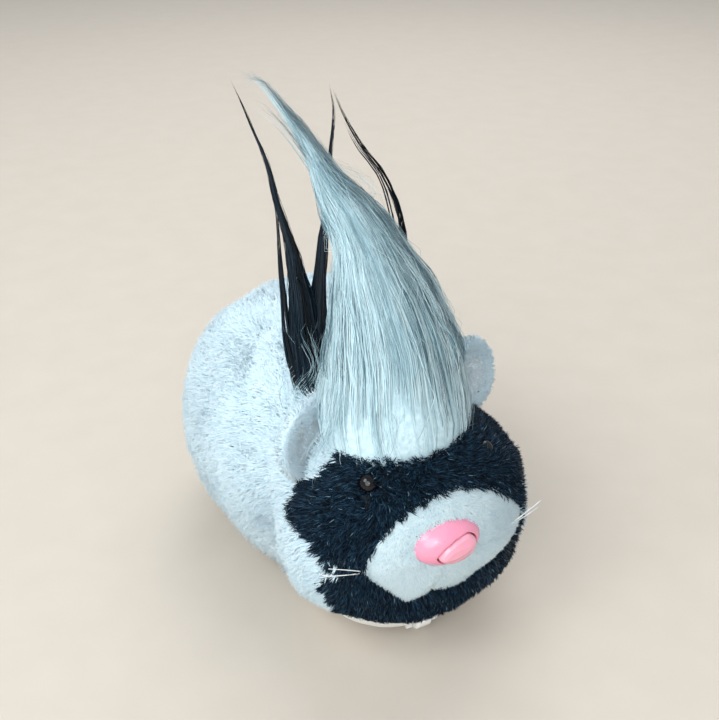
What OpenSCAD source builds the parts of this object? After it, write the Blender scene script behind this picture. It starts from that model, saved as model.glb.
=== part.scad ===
// Plush toy mouse on wheels, driven by a battery motor and started by pressing its nose.
// It faces -Y, its left side is +X, and it stands on the floor at z = 0. Sizes are in millimetres.

/* [Plush] */
// Height of the plush body's long axis above the floor
axis_z = 32; // [31:0.5:33]
// Radius of the plush at the rump
rump_r = 41; // [40:0.5:42]
// Radius of the plush at the head
head_r = 35; // [34:0.5:36]
// Length of the rump behind its widest ring
rump_l = 46; // [45:0.5:47]
// Length of the face in front of the head ring
face_l = 33; // [32.5:0.5:33.5]
// Height of the hem above the floor
hem_z = 4.5; // [4.2:0.1:5]
// Angle at which the hem rises under the chin
hem_rise = 12; // [8:1:14]
// Height of the top edge of the black mask
mask_top_z = 58.5; // [58.5:0.5:60]
// Y of the back edge of the black mask
mask_back_y = -32; // [-34:0.5:-30]

/* [Muzzle and nose] */
// Height of the muzzle patch's middle
muzzle_z = 36; // [35:0.5:37]
// Half the width of the muzzle patch
muzzle_half_w = 24.5; // [22:0.5:25]
// Half the height of the muzzle patch
muzzle_half_h = 16; // [15:0.5:17]
// Height of the nose
nose_z = 38.5; // [37.5:0.5:39.5]
// Travel of the nose button
nose_travel = 1.5; // [1:0.1:1.6]

/* [Ears, eyes and hair] */
// Radius of an ear
ear_r = 9.5; // [9:0.5:10]
// Thickness of an ear
ear_t = 3.5; // [3:0.1:4]
// Radius of an eye bead
eye_r = 2.6; // [2:0.1:3]
// Radius of a whisker bristle
whisker_r = 0.25; // [0.2:0.05:0.3]

/* [Shell] */
// Wall thickness of the plastic shell and the chassis
wall = 1.6; // [1.4:0.1:1.8]
// Height of the chassis underside above the floor
base_z = 4; // [3.9:0.1:4.1]
// Height of the seam between chassis and upper shell
seam_z = 13; // [12.5:0.5:14]

/* [Running gear] */
// Radius of a drive wheel over its tyre
drive_r = 12; // [12:0.5:12]
// Radius of the front wheel
front_r = 5; // [4.8:0.1:5.2]
// Width of the front wheel
front_w = 4.6; // [4:0.1:4.8]
// Gear module
gear_m = 0.5; // [0.5:0.1:0.5]
// Teeth of a large gear
big_teeth = 28; // [28:1:28]
// Teeth of a small gear
small_teeth = 10; // [10:1:10]

/* [Hidden] */
$fn = 48;
eps = 0.01;
far = 160;

// Colours
plush_white = [0.85, 0.93, 0.96];
plush_black = [0.05, 0.06, 0.10];
hair_grey = [0.78, 0.82, 0.82];
lining_tan = [0.85, 0.78, 0.74];
nose_pink = [0.95, 0.60, 0.68];
shell_white = [0.92, 0.92, 0.90];
gear_white = [0.95, 0.94, 0.88];
steel = [0.72, 0.73, 0.75];
board_green = [0.10, 0.38, 0.20];
black = [0.07, 0.07, 0.07];

// The body form: a solid of revolution about an axis along Y
rump_y = 15;
head_y = -23.5;
rump_power = 2.6;
face_power = 3.2;
shell_axis_z = axis_z - 1.5;
plush_t = 4;
hem_rise_y = -30;
shell_face_power = 4;
arc_steps = 9;
blend_steps = 6;
shell_front_y = head_y - face_l + plush_t;

// Battery box and door
cell_r = 5.25;
cell_l = 44.5;
cell_x = 5.45;
cell_z = 11.7;
bay_x = 11.2;
bay_front = -29.2;
bay_rear = 19.3;
bay_top = 17.9;
box_wall = 1.2;
contact_t = 0.5;
door_t = 1.4;
door_gap = 0.2;
door_tongue_x = 4;
door_tongue_y = -34.9;
door_screw_y = -32.2;
door_hinge_yz = [18.4, 4.7];
door_peg_r = 0.45;
door_peg_x = 11.8;

// Gear train, as [y, z] of each axis
pitch_small = gear_m * small_teeth / 2;
pitch_big = gear_m * big_teeth / 2;
centre_dist = pitch_small + pitch_big;
addendum = 0.375;
dedendum = 0.55;
flank_thinning = 0.03;
pressure_angle = 20;
axle_yz = [29.8, drive_r];
second_dir = 60;
first_dir = 115;
motor_dir = 60;
second_yz = axle_yz + centre_dist * [cos(second_dir), sin(second_dir)];
first_yz = second_yz + centre_dist * [cos(first_dir), sin(first_dir)];
motor_yz = first_yz + centre_dist * [cos(motor_dir), sin(motor_dir)];
axle_phase = 0;
second_small_phase = mesh_phase(axle_phase, big_teeth, small_teeth, second_dir);
first_small_phase = mesh_phase(0, big_teeth, small_teeth, first_dir);
pinion_phase = mesh_phase(0, big_teeth, small_teeth, motor_dir);
pin_r = 1;
running_gap = 0.05;
motor_shaft_r = 0.75;
motor_l = 18.5;
motor_r = 7.75;
terminal_l = 1.5;

// Gearbox case
case_x = 9;
case_wall = 1;
case_y0 = 20.8;
case_y1 = 43.4;
case_z0 = 3.3;
case_z1 = 42;
case_screws_yz = [[23.6, 39.2], [40.8, 7.6], [40.8, 31]];
lug_x = 5.5;
lug_rear = [46.2, 9];
lug_front = [18.3, 22];
lug_t = 2;

// Wheels
drive_x0 = 12.9;
drive_w = 3.6;
rim_r = 10.5;
front_y = -43.5;
fork_gap = 0.6;
fork_t = 1.8;
front_pin_r = 0.75;

// Screws that join chassis and shell, as [x, y] on the +X side
chassis_screw_xy = [[9.5, -33.5], [11.8, 44.6]];
chassis_screw_r = 1.1;
chassis_boss_r = 2.6;
post_top = 24;

// Nose, from front to back along Y
nose_tip_y = -62.6;
bezel_y = -55.5;
bezel_half_w = 9.6;
bezel_r = 6.4;
button_r = 4;
button_x = 1.6;
button_gap = 0.3;
spigot_wall = 1.4;
spigot_end_y = -49;
flange_y = -48.8;
flange_t = 1;
board_y = -42.1;
board_t = 1.6;
board_half_x = 15;
board_z0 = 23;
board_z1 = 51;
board_posts_xz = [[12, 26.5], [12, 47.5]];

// Mode switch
mode_x = 19;
mode_y = 6;
mode_travel = 3;

// Leads
wire_r = 0.5;

// Speaker on the roof of the battery box
speaker_y = -5;
speaker_r = 11;
roof_z = bay_top + box_wall;

// Eyes, whiskers and ears
eye_xyz = [16.4, -48.6, 55.6];
eye_stem_l = 9;
whisker_root = [20, -53, 34];
whisker_tips = [[30.5, -48.5, 33], [30.5, -52, 34.6], [30, -53.6, 38.5]];
lining_t = 0.8;

// Place of each ear as [centre, turn, lean]; the right one is folded inwards
ear_left_place = [[25, -24, 62.5], 22, -12];
ear_right_place = [[-24.5, -27, 58.5], 34, 4];

// Phase of a gear B in mesh with a gear A, where dir points from A to B
function mesh_phase(phase_a, n_a, n_b, dir) =
    dir + 180 - 180 / n_b + (dir - phase_a) * n_a / n_b;

// Half outline of the body form as [radius, y], from the tail to the face
function form_outline(r_rump, r_head, l_rump, l_face, p_face) = [
    for (i = [0 : arc_steps])
        let (t = 90 * i / arc_steps)
        [r_rump * pow(sin(t), 2 / rump_power), rump_y + l_rump * pow(cos(t), 2 / rump_power)],
    for (i = [1 : blend_steps])
        let (s = i / blend_steps)
        [r_rump + (r_head - r_rump) * (1 - cos(180 * s)) / 2, rump_y + (head_y - rump_y) * s],
    for (i = [1 : arc_steps])
        let (t = 90 * i / arc_steps)
        [r_head * pow(cos(t), 2 / p_face), head_y - l_face * pow(sin(t), 2 / p_face)]
];

module form(r_rump, r_head, l_rump, l_face, p_face, z) {
    translate([0, 0, z])
        rotate([-90, 0, 0])
            rotate_extrude($fn = 96)
                polygon(form_outline(r_rump, r_head, l_rump, l_face, p_face));
}

module plush_form() {
    form(rump_r, head_r, rump_l, face_l, face_power, axis_z);
}

module shell_form(inset = 0) {
    inward = plush_t + inset;
    form(rump_r - inward, head_r - inward, rump_l - inward, face_l - inward,
        shell_face_power, shell_axis_z);
}

// The block between two heights, wide enough for the whole toy
module slab(z0, z1) {
    translate([-far / 2, -far / 2, z0])
        cube([far, far, z1 - z0]);
}

// A box from its two opposite corners
module block(a, b) {
    translate(a)
        cube(b - a);
}

// Children on both sides, mirrored in x = 0
module both_sides() {
    children();
    mirror([1, 0, 0])
        children();
}

// Children drawn in XY and pulled along Z lie along X at [y, z]
module along_x(x, yz) {
    translate([x, yz[0], yz[1]])
        rotate([90, 0, 90])
            children();
}

// A rod between two points
module rod(a, b, r) {
    d = b - a;
    l = norm(d);
    translate(a)
        rotate([0, acos(d[2] / l), atan2(d[1], d[0])])
            cylinder(r = r, h = l);
}

// A lead through a list of points
module wire(points) {
    for (i = [0 : len(points) - 2])
        rod(points[i], points[i + 1], wire_r, $fn = 12);
}

// A coil spring along +Z
module coil(r, wire_r, turns, h) {
    per_turn = 16;
    sides = 8;
    n = per_turn * turns;
    points = [
        for (i = [0 : n])
            let (a = 360 * i / per_turn, z = wire_r + (h - 2 * wire_r) * i / n)
            for (j = [0 : sides - 1])
                let (b = 360 * j / sides, q = r + wire_r * cos(b))
                [q * cos(a), q * sin(a), z + wire_r * sin(b)]
    ];
    walls = [
        for (i = [0 : n - 1])
            for (j = [0 : sides - 1])
                let (k = (j + 1) % sides)
                [i * sides + j, i * sides + k, (i + 1) * sides + k, (i + 1) * sides + j]
    ];
    start_cap = [for (j = [sides - 1 : -1 : 0]) j];
    end_cap = [for (j = [0 : sides - 1]) n * sides + j];
    polyhedron(points = points, faces = concat(walls, [start_cap, end_cap]));
}

// A pan-head screw along +Z, its head below z = 0
module screw(r, l, head_r, head_h) {
    translate([0, 0, -head_h / 2])
        cylinder(r = r, h = l + head_h / 2);
    translate([0, 0, -head_h])
        cylinder(r = head_r, h = head_h);
}

// Involute gear outline
module gear_outline(teeth, phase) {
    rp = gear_m * teeth / 2;
    rb = rp * cos(pressure_angle);
    ro = rp + addendum;
    rr = rp - dedendum;
    steps = 3;
    roll_max = sqrt(pow(ro / rb, 2) - 1) * 180 / PI;
    inv_pitch = tan(pressure_angle) * 180 / PI - pressure_angle;
    half = 90 / teeth - flank_thinning / rp * 180 / PI + inv_pitch;
    flank = [
        [rr, half],
        for (i = [0 : steps])
            let (roll = roll_max * i / steps, k = roll * PI / 180)
            [rb * sqrt(1 + k * k), half - roll + atan(k)]
    ];
    last = len(flank) - 1;
    tooth = [
        for (i = [0 : last]) [flank[i][0], -flank[i][1]],
        for (i = [last : -1 : 0]) flank[i]
    ];
    polygon([
        for (n = [0 : teeth - 1])
            for (q = tooth)
                let (a = phase + 360 * n / teeth + q[1])
                q[0] * [cos(a), sin(a)]
    ]);
}

module gear(teeth, phase, w) {
    linear_extrude(height = w)
        gear_outline(teeth, phase);
}

// A stadium-shaped prism along +Y from y0 to y1, centred on the nose
module stadium(r, half_x, y0, y1) {
    for (s = [-1, 1])
        translate([s * half_x, y1, nose_z])
            rotate([90, 0, 0])
                cylinder(r = r, h = y1 - y0);
    block([-half_x, y0, nose_z - r], [half_x, y1, nose_z + r]);
}

// A spheroid whose axis lies along X
module spheroid_x(half_x, r, centre) {
    steps = 10;
    translate(centre)
        rotate([0, 90, 0])
            rotate_extrude()
                polygon([
                    for (i = [0 : steps])
                        let (t = 180 * i / steps)
                        [r * sin(t), -half_x * cos(t)]
                ]);
}

// ---- Chassis and shell ----

module front_fork() {
    x0 = front_w / 2 + fork_gap;
    both_sides()
        block([x0, front_y - 3, 2.2], [x0 + fork_t, front_y + 3, 8]);
}

module front_wheel_slot() {
    x = front_w / 2 + fork_gap;
    block([-x, front_y - 8, 0], [x, front_y + 5.4, front_r * 2 + 1]);
}

module chassis_bosses() {
    intersection() {
        shell_form();
        both_sides()
            for (p = chassis_screw_xy)
                translate([p[0], p[1], base_z])
                    cylinder(r = chassis_boss_r, h = seam_z - base_z);
    }
    intersection() {
        shell_form();
        both_sides()
            translate([lug_x, lug_rear[0], base_z])
                cylinder(r = 2.4, h = lug_rear[1] - base_z);
    }
    both_sides()
        translate([lug_x, lug_front[0], roof_z - eps])
            cylinder(r = 2.4, h = lug_front[1] - roof_z + eps);
    translate([0, door_screw_y, 6.4])
        cylinder(r = 2.8, h = 5.6);
}

module speaker_seat() {
    translate([0, speaker_y, roof_z - eps])
        cylinder(r = speaker_r + 1.2, h = 3.1);
    for (s = [-1, 1])
        translate([0, speaker_y + 15 * s, roof_z - eps])
            cylinder(r = 2, h = 5.3);
}

module door_opening() {
    block([-bay_x, bay_front, 0], [bay_x, bay_rear, base_z + 3]);
    block([-door_tongue_x - door_gap, door_tongue_y - door_gap, 0],
        [door_tongue_x + door_gap, bay_front + eps, 6.4]);
    peg_hole_x = door_peg_x + 0.1;
    along_x(-peg_hole_x, door_hinge_yz)
        cylinder(r = door_peg_r + running_gap, h = 2 * peg_hole_x);
}

module chassis_base() {
    color(shell_white)
        difference() {
            union() {
                difference() {
                    intersection() {
                        shell_form();
                        slab(base_z, seam_z);
                    }
                    intersection() {
                        shell_form(wall);
                        slab(base_z + wall, seam_z + 1);
                    }
                }
                block([-bay_x - box_wall, bay_front - box_wall, base_z],
                    [bay_x + box_wall, bay_rear + box_wall, roof_z]);
                chassis_bosses();
                front_fork();
                speaker_seat();
            }
            block([-bay_x, bay_front, base_z + 1], [bay_x, bay_rear, bay_top]);
            door_opening();
            front_wheel_slot();
            block([-case_x - 0.2, case_y0 - 0.2, 0], [case_x + 0.2, case_y1 + 0.2, seam_z]);
            both_sides()
                block([drive_x0 - 0.6, axle_yz[0] - drive_r - 0.4, 0],
                    [drive_x0 + drive_w + 0.6, axle_yz[0] + drive_r + 0.4, base_z + wall + 0.1]);
            block([mode_x - 1.3, mode_y - 3.2, 0], [mode_x + 1.3, mode_y + 3.2, base_z + wall + 1]);
            along_x(-front_w - fork_t, [front_y, front_r])
                cylinder(r = front_pin_r, h = 2 * (front_w + fork_t));
            both_sides() {
                for (p = chassis_screw_xy)
                    translate([p[0], p[1], 0]) {
                        cylinder(r = chassis_screw_r + 0.15, h = seam_z + 1);
                        cylinder(r = 2.2, h = base_z + 2);
                    }
                translate([lug_x, lug_rear[0], base_z + wall])
                    cylinder(r = 0.9, h = 10);
                translate([lug_x, lug_front[0], roof_z])
                    cylinder(r = 0.9, h = 10);
            }
            translate([0, door_screw_y, 6])
                cylinder(r = 1.5, h = 5);
            translate([0, speaker_y, roof_z])
                cylinder(r = speaker_r - 1, h = 4);
            for (s = [-1, 1])
                translate([0, speaker_y + 15 * s, roof_z + 0.4])
                    cylinder(r = 0.75, h = 6);
        }
}

module shell_posts() {
    both_sides()
        for (p = chassis_screw_xy) {
            translate([p[0], p[1], seam_z])
                cylinder(r = chassis_boss_r, h = post_top - seam_z);
            intersection() {
                shell_form(wall / 2);
                block([p[0], p[1] - 0.8, seam_z], [far / 2, p[1] + 0.8, post_top - 2]);
            }
        }
    intersection() {
        shell_form(wall / 2);
        both_sides()
            for (p = board_posts_xz)
                translate([p[0], board_y, p[1]])
                    rotate([90, 0, 0])
                        cylinder(r = 2.2, h = 12);
    }
}

module upper_shell() {
    color(shell_white)
        difference() {
            union() {
                difference() {
                    intersection() {
                        shell_form();
                        slab(seam_z, far);
                    }
                    shell_form(wall);
                }
                shell_posts();
            }
            stadium(button_r + button_gap + spigot_wall, button_x, shell_front_y - 2, spigot_end_y - 0.5);
            both_sides() {
                for (p = chassis_screw_xy)
                    translate([p[0], p[1], seam_z - 1])
                        cylinder(r = chassis_screw_r, h = post_top - seam_z - 1);
                for (p = board_posts_xz)
                    translate([p[0], board_y + 1, p[1]])
                        rotate([90, 0, 0])
                            cylinder(r = 0.75, h = 6);
                eye_stem();
            }
        }
}

module chassis_screws() {
    color(steel)
        both_sides()
            for (p = chassis_screw_xy)
                translate([p[0], p[1], base_z + 2])
                    screw(chassis_screw_r, 15, 2, 1.4);
}

// ---- Battery compartment ----

module battery_door() {
    color(shell_white)
        difference() {
            union() {
                block([-bay_x + door_gap, bay_front + door_gap, base_z],
                    [bay_x - door_gap, door_hinge_yz[0], base_z + door_t]);
                block([-door_tongue_x, door_tongue_y, base_z],
                    [door_tongue_x, bay_front + 1, base_z + 2.2]);
                along_x(-bay_x + door_gap, door_hinge_yz)
                    cylinder(r = door_t / 2, h = 2 * (bay_x - door_gap));
                along_x(-door_peg_x, door_hinge_yz)
                    cylinder(r = door_peg_r, h = 2 * door_peg_x);
            }
            translate([0, door_screw_y, 0])
                cylinder(r = 1, h = 10);
            translate([0, door_screw_y, base_z - 1])
                cylinder(r = 2, h = 2.1);
        }
}

module door_screw() {
    color(steel)
        translate([0, door_screw_y, base_z + 1.1])
            screw(1, 5, 1.9, 0.9);
}

module cell(x, front_y, nub_dir) {
    middle = front_y + cell_l / 2;
    color([0.10, 0.30, 0.55])
        translate([x, middle, cell_z])
            rotate([-90 * nub_dir, 0, 0]) {
                translate([0, 0, -cell_l / 2])
                    cylinder(r = cell_r, h = cell_l - 1);
                cylinder(r = 1.9, h = cell_l / 2);
            }
}

module cell_left() {
    cell(cell_x, bay_front + contact_t, -1);
}

module cell_right() {
    cell(-cell_x, bay_rear - contact_t - cell_l, 1);
}

// A contact spring between y0 and y1
module contact_coil(x, y0, y1) {
    translate([x, y0, cell_z])
        rotate([-90, 0, 0])
            coil(3, 0.35, 3, y1 - y0);
}

module contact_plate_front() {
    color(steel)
        block([1.2, bay_front, 7], [cell_x + 4.2, bay_front + contact_t, 16]);
}

module contact_spring_front() {
    color(steel) {
        block([-cell_x - 4.2, bay_front, 7], [-1.2, bay_front + contact_t, 16]);
        contact_coil(-cell_x, bay_front + contact_t + 0.05, bay_rear - contact_t - cell_l - 0.05);
    }
}

module contact_link_rear() {
    color(steel) {
        block([-cell_x - 4.2, bay_rear - contact_t, 7], [cell_x + 4.2, bay_rear, 16]);
        contact_coil(cell_x, bay_front + contact_t + cell_l + 0.05, bay_rear - contact_t - 0.05);
    }
}

// ---- Gearbox ----

// One half of the case, drawn on the +X side
module case_half() {
    difference() {
        union() {
            difference() {
                block([0, case_y0, case_z0], [case_x, case_y1, case_z1]);
                block([-1, case_y0 + case_wall, case_z0 + case_wall],
                    [case_x - case_wall, case_y1 - case_wall, case_z1 - case_wall]);
            }
            for (p = case_screws_yz)
                along_x(0, p)
                    cylinder(r = 2, h = case_x);
            block([lug_x - 2.6, case_y1 - eps, lug_rear[1]],
                [lug_x + 2.6, lug_rear[0] + 2.6, lug_rear[1] + lug_t]);
            block([lug_x - 2.6, lug_front[0] - 2.4, lug_front[1]],
                [lug_x + 2.6, case_y0 + eps, lug_front[1] + lug_t]);
        }
        for (p = [second_yz, first_yz])
            along_x(case_x - 2, p)
                cylinder(r = pin_r, h = 3);
        along_x(case_x - 2, axle_yz)
            cylinder(r = pin_r + running_gap, h = 3);
        for (p = case_screws_yz)
            along_x(-1, p)
                cylinder(r = 0.8, h = case_x + 2);
        for (p = [lug_rear, lug_front])
            translate([lug_x, p[0], p[1] - 1])
                cylinder(r = 1.1, h = lug_t + 2);
    }
}

module gearbox_left() {
    color([0.85, 0.85, 0.88])
        case_half();
}

module gearbox_right() {
    color([0.80, 0.80, 0.84])
        difference() {
            mirror([1, 0, 0])
                case_half();
            along_x(-case_x - 1, motor_yz)
                cylinder(r = 3, h = 3);
        }
}

module gearbox_screws() {
    color(steel) {
        for (p = case_screws_yz)
            translate([case_x, p[0], p[1]])
                rotate([0, -90, 0])
                    screw(0.8, 15, 1.6, 1);
        both_sides()
            for (p = [lug_rear, lug_front])
                translate([lug_x, p[0], p[1] + lug_t])
                    rotate([180, 0, 0])
                        screw(0.9, lug_t + 2.6, 1.9, 1.2);
    }
}

module gear_pins() {
    color(steel)
        for (p = [second_yz, first_yz])
            along_x(-case_x, p)
                cylinder(r = pin_r, h = 2 * case_x);
}

module motor() {
    color(steel)
        difference() {
            union() {
                intersection() {
                    along_x(-case_x - motor_l, motor_yz)
                        cylinder(r = motor_r, h = motor_l);
                    block([-far, motor_yz[0] - motor_r, motor_yz[1] - 6],
                        [0, motor_yz[0] + motor_r, motor_yz[1] + 6]);
                }
                along_x(-case_x - 1, motor_yz)
                    cylinder(r = 3, h = 2);
                for (s = [-1, 1])
                    block([-case_x - motor_l - terminal_l, motor_yz[0] + 4 * s - 0.8, motor_yz[1] - 0.2],
                        [-case_x - motor_l + 0.5, motor_yz[0] + 4 * s + 0.8, motor_yz[1] + 0.2]);
            }
            along_x(-case_x - 4, motor_yz)
                cylinder(r = motor_shaft_r + running_gap, h = 6);
        }
}

module motor_shaft() {
    color(steel)
        along_x(-case_x - 3.9, motor_yz)
            cylinder(r = motor_shaft_r, h = 10);
}

module motor_pinion() {
    color([0.80, 0.62, 0.30])
        difference() {
            along_x(-7, motor_yz)
                gear(small_teeth, pinion_phase, 3.8);
            along_x(-8, motor_yz)
                cylinder(r = motor_shaft_r, h = 6);
        }
}

// A large and a small gear moulded in one, the large one from x0 to x0 + 2.5
module compound_gear(x0, small_x0, small_w, yz, small_phase) {
    color(gear_white)
        difference() {
            union() {
                along_x(x0, yz)
                    gear(big_teeth, 0, 2.5);
                along_x(small_x0, yz)
                    gear(small_teeth, small_phase, small_w);
            }
            along_x(x0 - 1, yz)
                cylinder(r = pin_r + running_gap, h = 12);
        }
}

module first_gear() {
    compound_gear(-6.2, -5, 5.3, first_yz, first_small_phase);
}

module second_gear() {
    compound_gear(-2.5, -1, 6, second_yz, second_small_phase);
}

module axle_gear() {
    color(gear_white)
        difference() {
            along_x(1, axle_yz)
                gear(big_teeth, axle_phase, 3.5);
            along_x(0, axle_yz)
                cylinder(r = pin_r, h = 6);
        }
}

module drive_axle() {
    x = drive_x0 + drive_w;
    color(steel)
        along_x(-x, axle_yz)
            cylinder(r = pin_r, h = 2 * x);
}

// ---- Wheels ----

module drive_wheel() {
    color([0.30, 0.30, 0.32])
        along_x(drive_x0, axle_yz)
            difference() {
                rotate_extrude()
                    polygon([[pin_r, -0.6], [3, -0.6], [3, 1], [9, 1], [9, 0], [rim_r, 0],
                        [rim_r, drive_w], [9, drive_w], [9, 2.4], [3, 2.4], [3, drive_w],
                        [pin_r, drive_w]]);
                for (a = [0 : 60 : 300])
                    rotate(a)
                        translate([6, 0, -1])
                            cylinder(r = 1.6, h = 6);
            }
}

module drive_wheel_left() {
    drive_wheel();
}

module drive_wheel_right() {
    mirror([1, 0, 0])
        drive_wheel();
}

module tyre() {
    edge = 0.4;
    color(black)
        along_x(drive_x0, axle_yz)
            rotate_extrude()
                polygon([[rim_r, 0], [drive_r - edge, 0], [drive_r, edge],
                    [drive_r, drive_w - edge], [drive_r - edge, drive_w], [rim_r, drive_w]]);
}

module tyre_left() {
    tyre();
}

module tyre_right() {
    mirror([1, 0, 0])
        tyre();
}

module front_wheel() {
    edge = 0.5;
    h = front_w / 2;
    bore = front_pin_r + running_gap;
    color(shell_white)
        along_x(0, [front_y, front_r])
            rotate_extrude()
                polygon([[bore, -h], [front_r - edge, -h], [front_r, edge - h],
                    [front_r, h - edge], [front_r - edge, h], [bore, h]]);
}

module front_axle() {
    x = front_w / 2 + fork_gap + fork_t;
    color(steel)
        along_x(-x, [front_y, front_r])
            cylinder(r = front_pin_r, h = 2 * x);
}

// ---- Electronics ----

module circuit_board() {
    color(board_green)
        difference() {
            block([-board_half_x, board_y, board_z0], [board_half_x, board_y + board_t, board_z1]);
            both_sides()
                for (p = board_posts_xz)
                    translate([p[0], board_y + board_t + 1, p[1]])
                        rotate([90, 0, 0])
                            cylinder(r = 0.9, h = board_t + 2);
        }
}

module chip_blob() {
    color(black)
        translate([0, board_y + board_t, 37])
            rotate([-90, 0, 0])
                cylinder(r1 = 4, r2 = 2.6, h = 1.5);
}

module board_screws() {
    color(steel)
        both_sides()
            for (p = board_posts_xz)
                translate([p[0], board_y + board_t, p[1]])
                    rotate([90, 0, 0])
                        screw(0.75, 5, 1.6, 1.1);
}

module nose_switch() {
    body_front = board_y - 3.4;
    plunger_l = 0.6;
    color(black)
        block([-3, body_front, nose_z - 3], [3, board_y, nose_z + 3]);
    color(black)
        translate([0, body_front + eps, nose_z])
            rotate([90, 0, 0])
                cylinder(r = 1.75, h = plunger_l);
}

module mode_switch() {
    color(steel)
        difference() {
            block([mode_x - 2.2, mode_y - 4.3, base_z + wall], [mode_x + 2.2, mode_y + 4.3, 10]);
            block([mode_x - 1.2, mode_y - 3.3, base_z], [mode_x + 1.2, mode_y + 3.3, 8.4]);
        }
}

module mode_slider() {
    y = mode_y - mode_travel / 2;
    color(black) {
        block([mode_x - 1, y - 1.3, 2.6], [mode_x + 1, y + 1.3, 6.4]);
        block([mode_x - 1, y - 1.6, 6.2], [mode_x + 1, y + 1.6, 8.1]);
    }
}

module speaker() {
    color([0.20, 0.20, 0.22])
        translate([0, speaker_y, roof_z]) {
            cylinder(r = 7, h = 3.2);
            translate([0, 0, 3.09])
                cylinder(r = speaker_r, h = 2.2);
        }
}

module speaker_ring() {
    z = roof_z + 5.29;
    color(shell_white)
        difference() {
            union() {
                translate([0, speaker_y, z])
                    cylinder(r = speaker_r + 1, h = 1.2);
                for (s = [-1, 1])
                    translate([0, speaker_y + 15 * s, z])
                        cylinder(r = 2.4, h = 1.2);
                block([-2, speaker_y - 15, z], [2, speaker_y + 15, z + 1.2]);
            }
            translate([0, speaker_y, z - 1])
                cylinder(r = speaker_r - 2, h = 4);
            for (s = [-1, 1])
                translate([0, speaker_y + 15 * s, z - 1])
                    cylinder(r = 0.9, h = 4);
        }
}

module speaker_screws() {
    color(steel)
        for (s = [-1, 1])
            translate([0, speaker_y + 15 * s, roof_z + 5.29 + 1.2])
                rotate([180, 0, 0])
                    screw(0.75, 5, 1.6, 1);
}

// A red and a black lead that end on the back of the board, from lists of points for each
module lead_pair(red_points, black_points) {
    color([0.75, 0.08, 0.06])
        wire(red_points);
    color(black)
        wire(black_points);
}

module motor_leads() {
    end_y = board_y + board_t + 0.6;
    x = -case_x - motor_l - 0.6 * terminal_l;
    terminal_y = 4;
    terminal_z = motor_yz[1] + 0.8;
    lead_pair(
        [[x, motor_yz[0] - terminal_y, terminal_z], [x, 26, terminal_z + 0.6], [-20, 20, 45],
            [-16, -12, 47], [-11, -34, 44], [-11, end_y, 44]],
        [[x, motor_yz[0] + terminal_y, terminal_z], [x, 25, terminal_z + 2.8], [-18, 20, 47.5],
            [-14, -12, 49], [-8, -34, 45], [-8, end_y, 45]]);
}

module battery_leads() {
    end_y = board_y + board_t + 0.6;
    start_y = bay_front - box_wall - 0.6;
    lead_pair(
        [[5, start_y, 15], [4.5, -33, 22], [4, -36, 27], [4, end_y, 28.5]],
        [[-5, start_y, 15], [-4.5, -33, 22], [-4, -36, 27], [-4, end_y, 28.5]]);
}

module speaker_leads() {
    end_y = board_y + board_t + 0.6;
    start = [4, speaker_y - 11.2, roof_z + 7.1];
    gap = [2, 0, 0];
    lead_pair(
        [start, [4, -24, 30], [3, -33, 33], [3, end_y, 33]],
        [start + gap, [6, -24, 30], [5, -33, 33], [5, end_y, 33]]);
}

// ---- Nose ----

module bezel_form() {
    intersection() {
        spheroid_x(bezel_half_w, bezel_r, [0, bezel_y, nose_z]);
        block([-far, -far, 0], [far, shell_front_y, far]);
    }
}

module nose_bezel() {
    color(nose_pink)
        difference() {
            union() {
                bezel_form();
                stadium(button_r + button_gap + spigot_wall, button_x, shell_front_y - 1, spigot_end_y);
            }
            stadium(button_r + button_gap, button_x, nose_tip_y - 5, spigot_end_y + 1);
        }
}

module nose_button() {
    dome_r = 5.6;
    color(nose_pink) {
        intersection() {
            stadium(button_r, button_x, nose_tip_y - 1, flange_y + eps);
            union() {
                spheroid_x(7.6, dome_r, [0, nose_tip_y + dome_r, nose_z - 0.4]);
                block([-far, nose_tip_y + dome_r, 0], [far, 0, far]);
            }
        }
        stadium(button_r + button_gap + 1, button_x, flange_y, flange_y + flange_t);
    }
}

module nose_spring() {
    color(steel)
        translate([0, flange_y + flange_t + 0.05, nose_z])
            rotate([-90, 0, 0])
                coil(4.8, 0.35, 4, board_y - flange_y - flange_t - 0.1);
}

// ---- Eyes and whiskers ----

module eye_stem() {
    translate([eye_xyz[0], eye_xyz[1], eye_xyz[2]])
        rotate([-90, 0, 0])
            cylinder(r = 1.2, h = eye_stem_l);
}

module eye_form() {
    translate(eye_xyz)
        sphere(r = eye_r);
    eye_stem();
}

module eye_left() {
    color(black)
        eye_form();
}

module eye_right() {
    color(black)
        mirror([1, 0, 0])
            eye_form();
}

module whiskers() {
    for (tip = whisker_tips)
        rod(whisker_root + [0, 0, (tip[2] - whisker_root[2]) / 3], tip, whisker_r, $fn = 16);
}

module whiskers_left() {
    color([0.95, 0.95, 0.93])
        whiskers();
}

module whiskers_right() {
    color([0.95, 0.95, 0.93])
        mirror([1, 0, 0])
            whiskers();
}

// ---- Plush covers ----

module mask_region() {
    block([-far, -far, 0], [far, mask_back_y, mask_top_z]);
}

// The leaf-shaped patch of the muzzle, from two crossing cylinders along Y
module muzzle_region() {
    r = (pow(muzzle_half_w, 2) + pow(muzzle_half_h, 2)) / (2 * muzzle_half_h);
    intersection_for (s = [-1, 1])
        translate([0, mask_back_y - 4, muzzle_z + s * (r - muzzle_half_h)])
            rotate([90, 0, 0])
                cylinder(r = r, h = 40);
}

// Room for the front wheel in the chin
module chin_notch() {
    block([-5.2, -far, 0], [5.2, front_y + 8, front_r * 2 - 0.5]);
}

// The room under the hem where it rises to the front
module under_chin() {
    translate([0, hem_rise_y, hem_z])
        rotate([-hem_rise, 0, 0])
            block([-far, -far, -far], [far, 0, 0]);
}

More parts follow.
